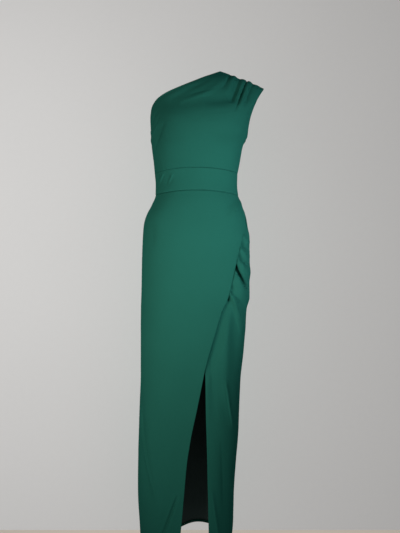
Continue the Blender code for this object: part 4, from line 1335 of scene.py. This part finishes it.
class DRESS_OT_studio(bpy.types.Operator):
    """Set up the pale floor, the plain backdrop, the soft lights and the camera"""

    bl_idname = "dress.studio"
    bl_label = "Studio"

    def execute(self, context):
        self.floor(context.scene.studio_looks)
        self.backdrop(context.scene.studio_looks)
        self.lights(context.scene.studio_looks)
        self.surroundings(context.scene)
        self.camera(context.scene)
        return {"FINISHED"}

    def plane(self, name, size, **place):
        """A new plane, with its place and turn applied to its mesh."""
        bpy.ops.object.select_all(action="DESELECT")
        bpy.ops.mesh.primitive_plane_add(size=size, **place)
        plane = bpy.context.object
        plane.name = name
        bpy.ops.object.transform_apply(location=True, rotation=True, scale=True)
        return plane

    def floor(self, looks):
        """A wide pale slab."""
        floor = self.plane("floor", FLOOR_WIDTH, location=(0.0, 0.0, FLOOR_HEIGHT))
        bpy.ops.object.mode_set(mode="EDIT")
        bpy.ops.mesh.select_all(action="SELECT")
        bpy.ops.mesh.extrude_region_move(TRANSFORM_OT_translate={"value": (0.0, 0.0, -FLOOR_THICKNESS)})
        bpy.ops.mesh.select_all(action="SELECT")
        bpy.ops.mesh.normals_make_consistent(inside=False)
        bpy.ops.object.mode_set(mode="OBJECT")
        paint = plain_paint("floor_paint", looks.floor_colour, FLOOR_SPECKLE, looks.glow)
        floor.data.materials.append(paint.material)
        floor.visible_diffuse = False

    def backdrop(self, looks):
        """A plain wall close behind the dress, which is only seen from its front."""
        middle = (CAMERA_PLACE[0], BACKDROP_Y, FLOOR_HEIGHT + BACKDROP_WIDTH / 2)
        upright = (math.pi / 2, 0.0, 0.0)
        wall = self.plane("backdrop", BACKDROP_WIDTH, location=middle, rotation=upright)
        self.lean_top(wall.data)
        paint = plain_paint("backdrop_paint", looks.wall_colour, BACKDROP_SPECKLE, looks.glow)
        behind = paint.add("ShaderNodeNewGeometry", {}, {}).outputs["Backfacing"]
        clear = paint.add("ShaderNodeBsdfTransparent", {}, {}).outputs["BSDF"]
        either = paint.add(
            "ShaderNodeMixShader", {}, {0: behind, 1: paint.shader.outputs["BSDF"], 2: clear})
        output = paint.tree.nodes["Material Output"]
        paint.fill(output.inputs["Surface"], either.outputs["Shader"])
        wall.data.materials.append(paint.material)
        wall.visible_diffuse = False
        wall.visible_glossy = False
        wall.visible_shadow = False

    def lean_top(self, mesh):
        """Carries the top edge of the backdrop up and back."""
        top = FLOOR_HEIGHT + BACKDROP_WIDTH
        bpy.ops.object.mode_set(mode="EDIT")
        bpy.ops.mesh.select_all(action="DESELECT")
        bpy.ops.object.mode_set(mode="OBJECT")
        for vertex in mesh.vertices:
            vertex.select = abs(vertex.co.z - top) < TOUCH
        for edge in mesh.edges:
            edge.select = all(mesh.vertices[number].select for number in edge.vertices)
        bpy.ops.object.mode_set(mode="EDIT")
        bpy.ops.mesh.extrude_edges_move(TRANSFORM_OT_translate={"value": (0.0, LEAN_BACK, LEAN_UP)})
        bpy.ops.object.mode_set(mode="OBJECT")

    def lights(self, looks):
        """Soft lights: three in front, two behind, and one for the backdrop alone."""
        key = soft_light(KEY_LIGHT, looks.key_power)
        key.data.color = COOL_LIGHT
        side = soft_light(SIDE_LIGHT, looks.side_power)
        side.data.color = WARM_LIGHT
        low = soft_light(LOW_LIGHT, looks.low_power)
        soft_light(BACK_LEFT_LIGHT, looks.back_power)
        soft_light(BACK_RIGHT_LIGHT, looks.back_power * BACK_SHARE)
        wall = soft_light(WALL_LIGHT, looks.wall_power)
        backdrop_only = bpy.data.collections.new("backdrop_only")
        backdrop_only.objects.link(bpy.data.objects["backdrop"])
        wall.light_linking.receiver_collection = backdrop_only
        wall.light_linking.blocker_collection = backdrop_only
        all_but_backdrop = bpy.data.collections.new("all_but_backdrop")
        all_but_backdrop.objects.link(bpy.data.objects["backdrop"])
        all_but_backdrop.collection_objects[0].light_linking.link_state = "EXCLUDE"
        for lamp in (key, side, low):
            lamp.light_linking.receiver_collection = all_but_backdrop

    def surroundings(self, scene):
        """Even pale surroundings, whose light on the dress has its own strength."""
        world = bpy.data.worlds.new("studio")
        world.use_nodes = True
        nodes = world.node_tree.nodes
        links = world.node_tree.links
        seen = nodes.new("ShaderNodeBackground")
        seen.inputs["Color"].default_value = SURROUNDINGS_SEEN
        light = nodes["Background"]
        light.inputs["Color"].default_value = SURROUNDINGS_LIGHT
        light.inputs["Strength"].default_value = scene.studio_looks.fill
        rays = nodes.new("ShaderNodeLightPath")
        either = nodes.new("ShaderNodeMixShader")
        links.new(rays.outputs["Is Camera Ray"], either.inputs[0])
        links.new(light.outputs["Background"], either.inputs[1])
        links.new(seen.outputs["Background"], either.inputs[2])
        links.new(either.outputs["Shader"], nodes["World Output"].inputs["Surface"])
        scene.world = world

    def camera(self, scene):
        """The camera, level and straight in front."""
        bpy.ops.object.camera_add(location=CAMERA_PLACE, rotation=(math.pi / 2, 0.0, 0.0))
        camera = bpy.context.object
        camera.name = "camera"
        camera.data.sensor_width = CAMERA_SENSOR
        camera.data.lens = CAMERA_LENS
        scene.camera = camera
        scene.view_settings.view_transform = "Standard"


class DRESS_PT_panel(bpy.types.Panel):
    """Lists the steps that make the dress and its studio."""

    bl_label = "One-shoulder dress"
    bl_idname = "DRESS_PT_panel"
    bl_space_type = "VIEW_3D"
    bl_region_type = "UI"
    bl_category = "Dress"

    def draw(self, context):
        for group in (context.scene.dress_sizes, context.scene.crepe_looks, context.scene.studio_looks):
            box = self.layout.box()
            for name in group.bl_rna.properties.keys():
                if name not in ("name", "rna_type"):
                    box.prop(group, name)
        for step in STEPS:
            self.layout.operator(step.bl_idname)


STEPS = (
    DRESS_OT_bodice,
    DRESS_OT_waistband,
    DRESS_OT_skirt_overlay,
    DRESS_OT_skirt_underlap,
    DRESS_OT_skirt_back,
    DRESS_OT_studio,
)
GROUPS = {"dress_sizes": DressSizes, "crepe_looks": CrepeLooks, "studio_looks": StudioLooks}


def register():
    """Adds the settings, the steps and the panel."""
    for name, group in GROUPS.items():
        bpy.utils.register_class(group)
        setattr(bpy.types.Scene, name, bpy.props.PointerProperty(type=group))
    for step in STEPS:
        bpy.utils.register_class(step)
    bpy.utils.register_class(DRESS_PT_panel)


def unregister():
    """Takes the panel, the steps and the settings away again."""
    bpy.utils.unregister_class(DRESS_PT_panel)
    for step in reversed(STEPS):
        bpy.utils.unregister_class(step)
    for name, group in GROUPS.items():
        delattr(bpy.types.Scene, name)
        bpy.utils.unregister_class(group)


def main():
    """Makes every piece in order."""
    register()
    bpy.ops.dress.bodice()
    bpy.ops.dress.waistband()
    bpy.ops.dress.skirt_overlay()
    bpy.ops.dress.skirt_underlap()
    bpy.ops.dress.skirt_back()
    bpy.ops.dress.studio()


if __name__ == "__main__":
    main()
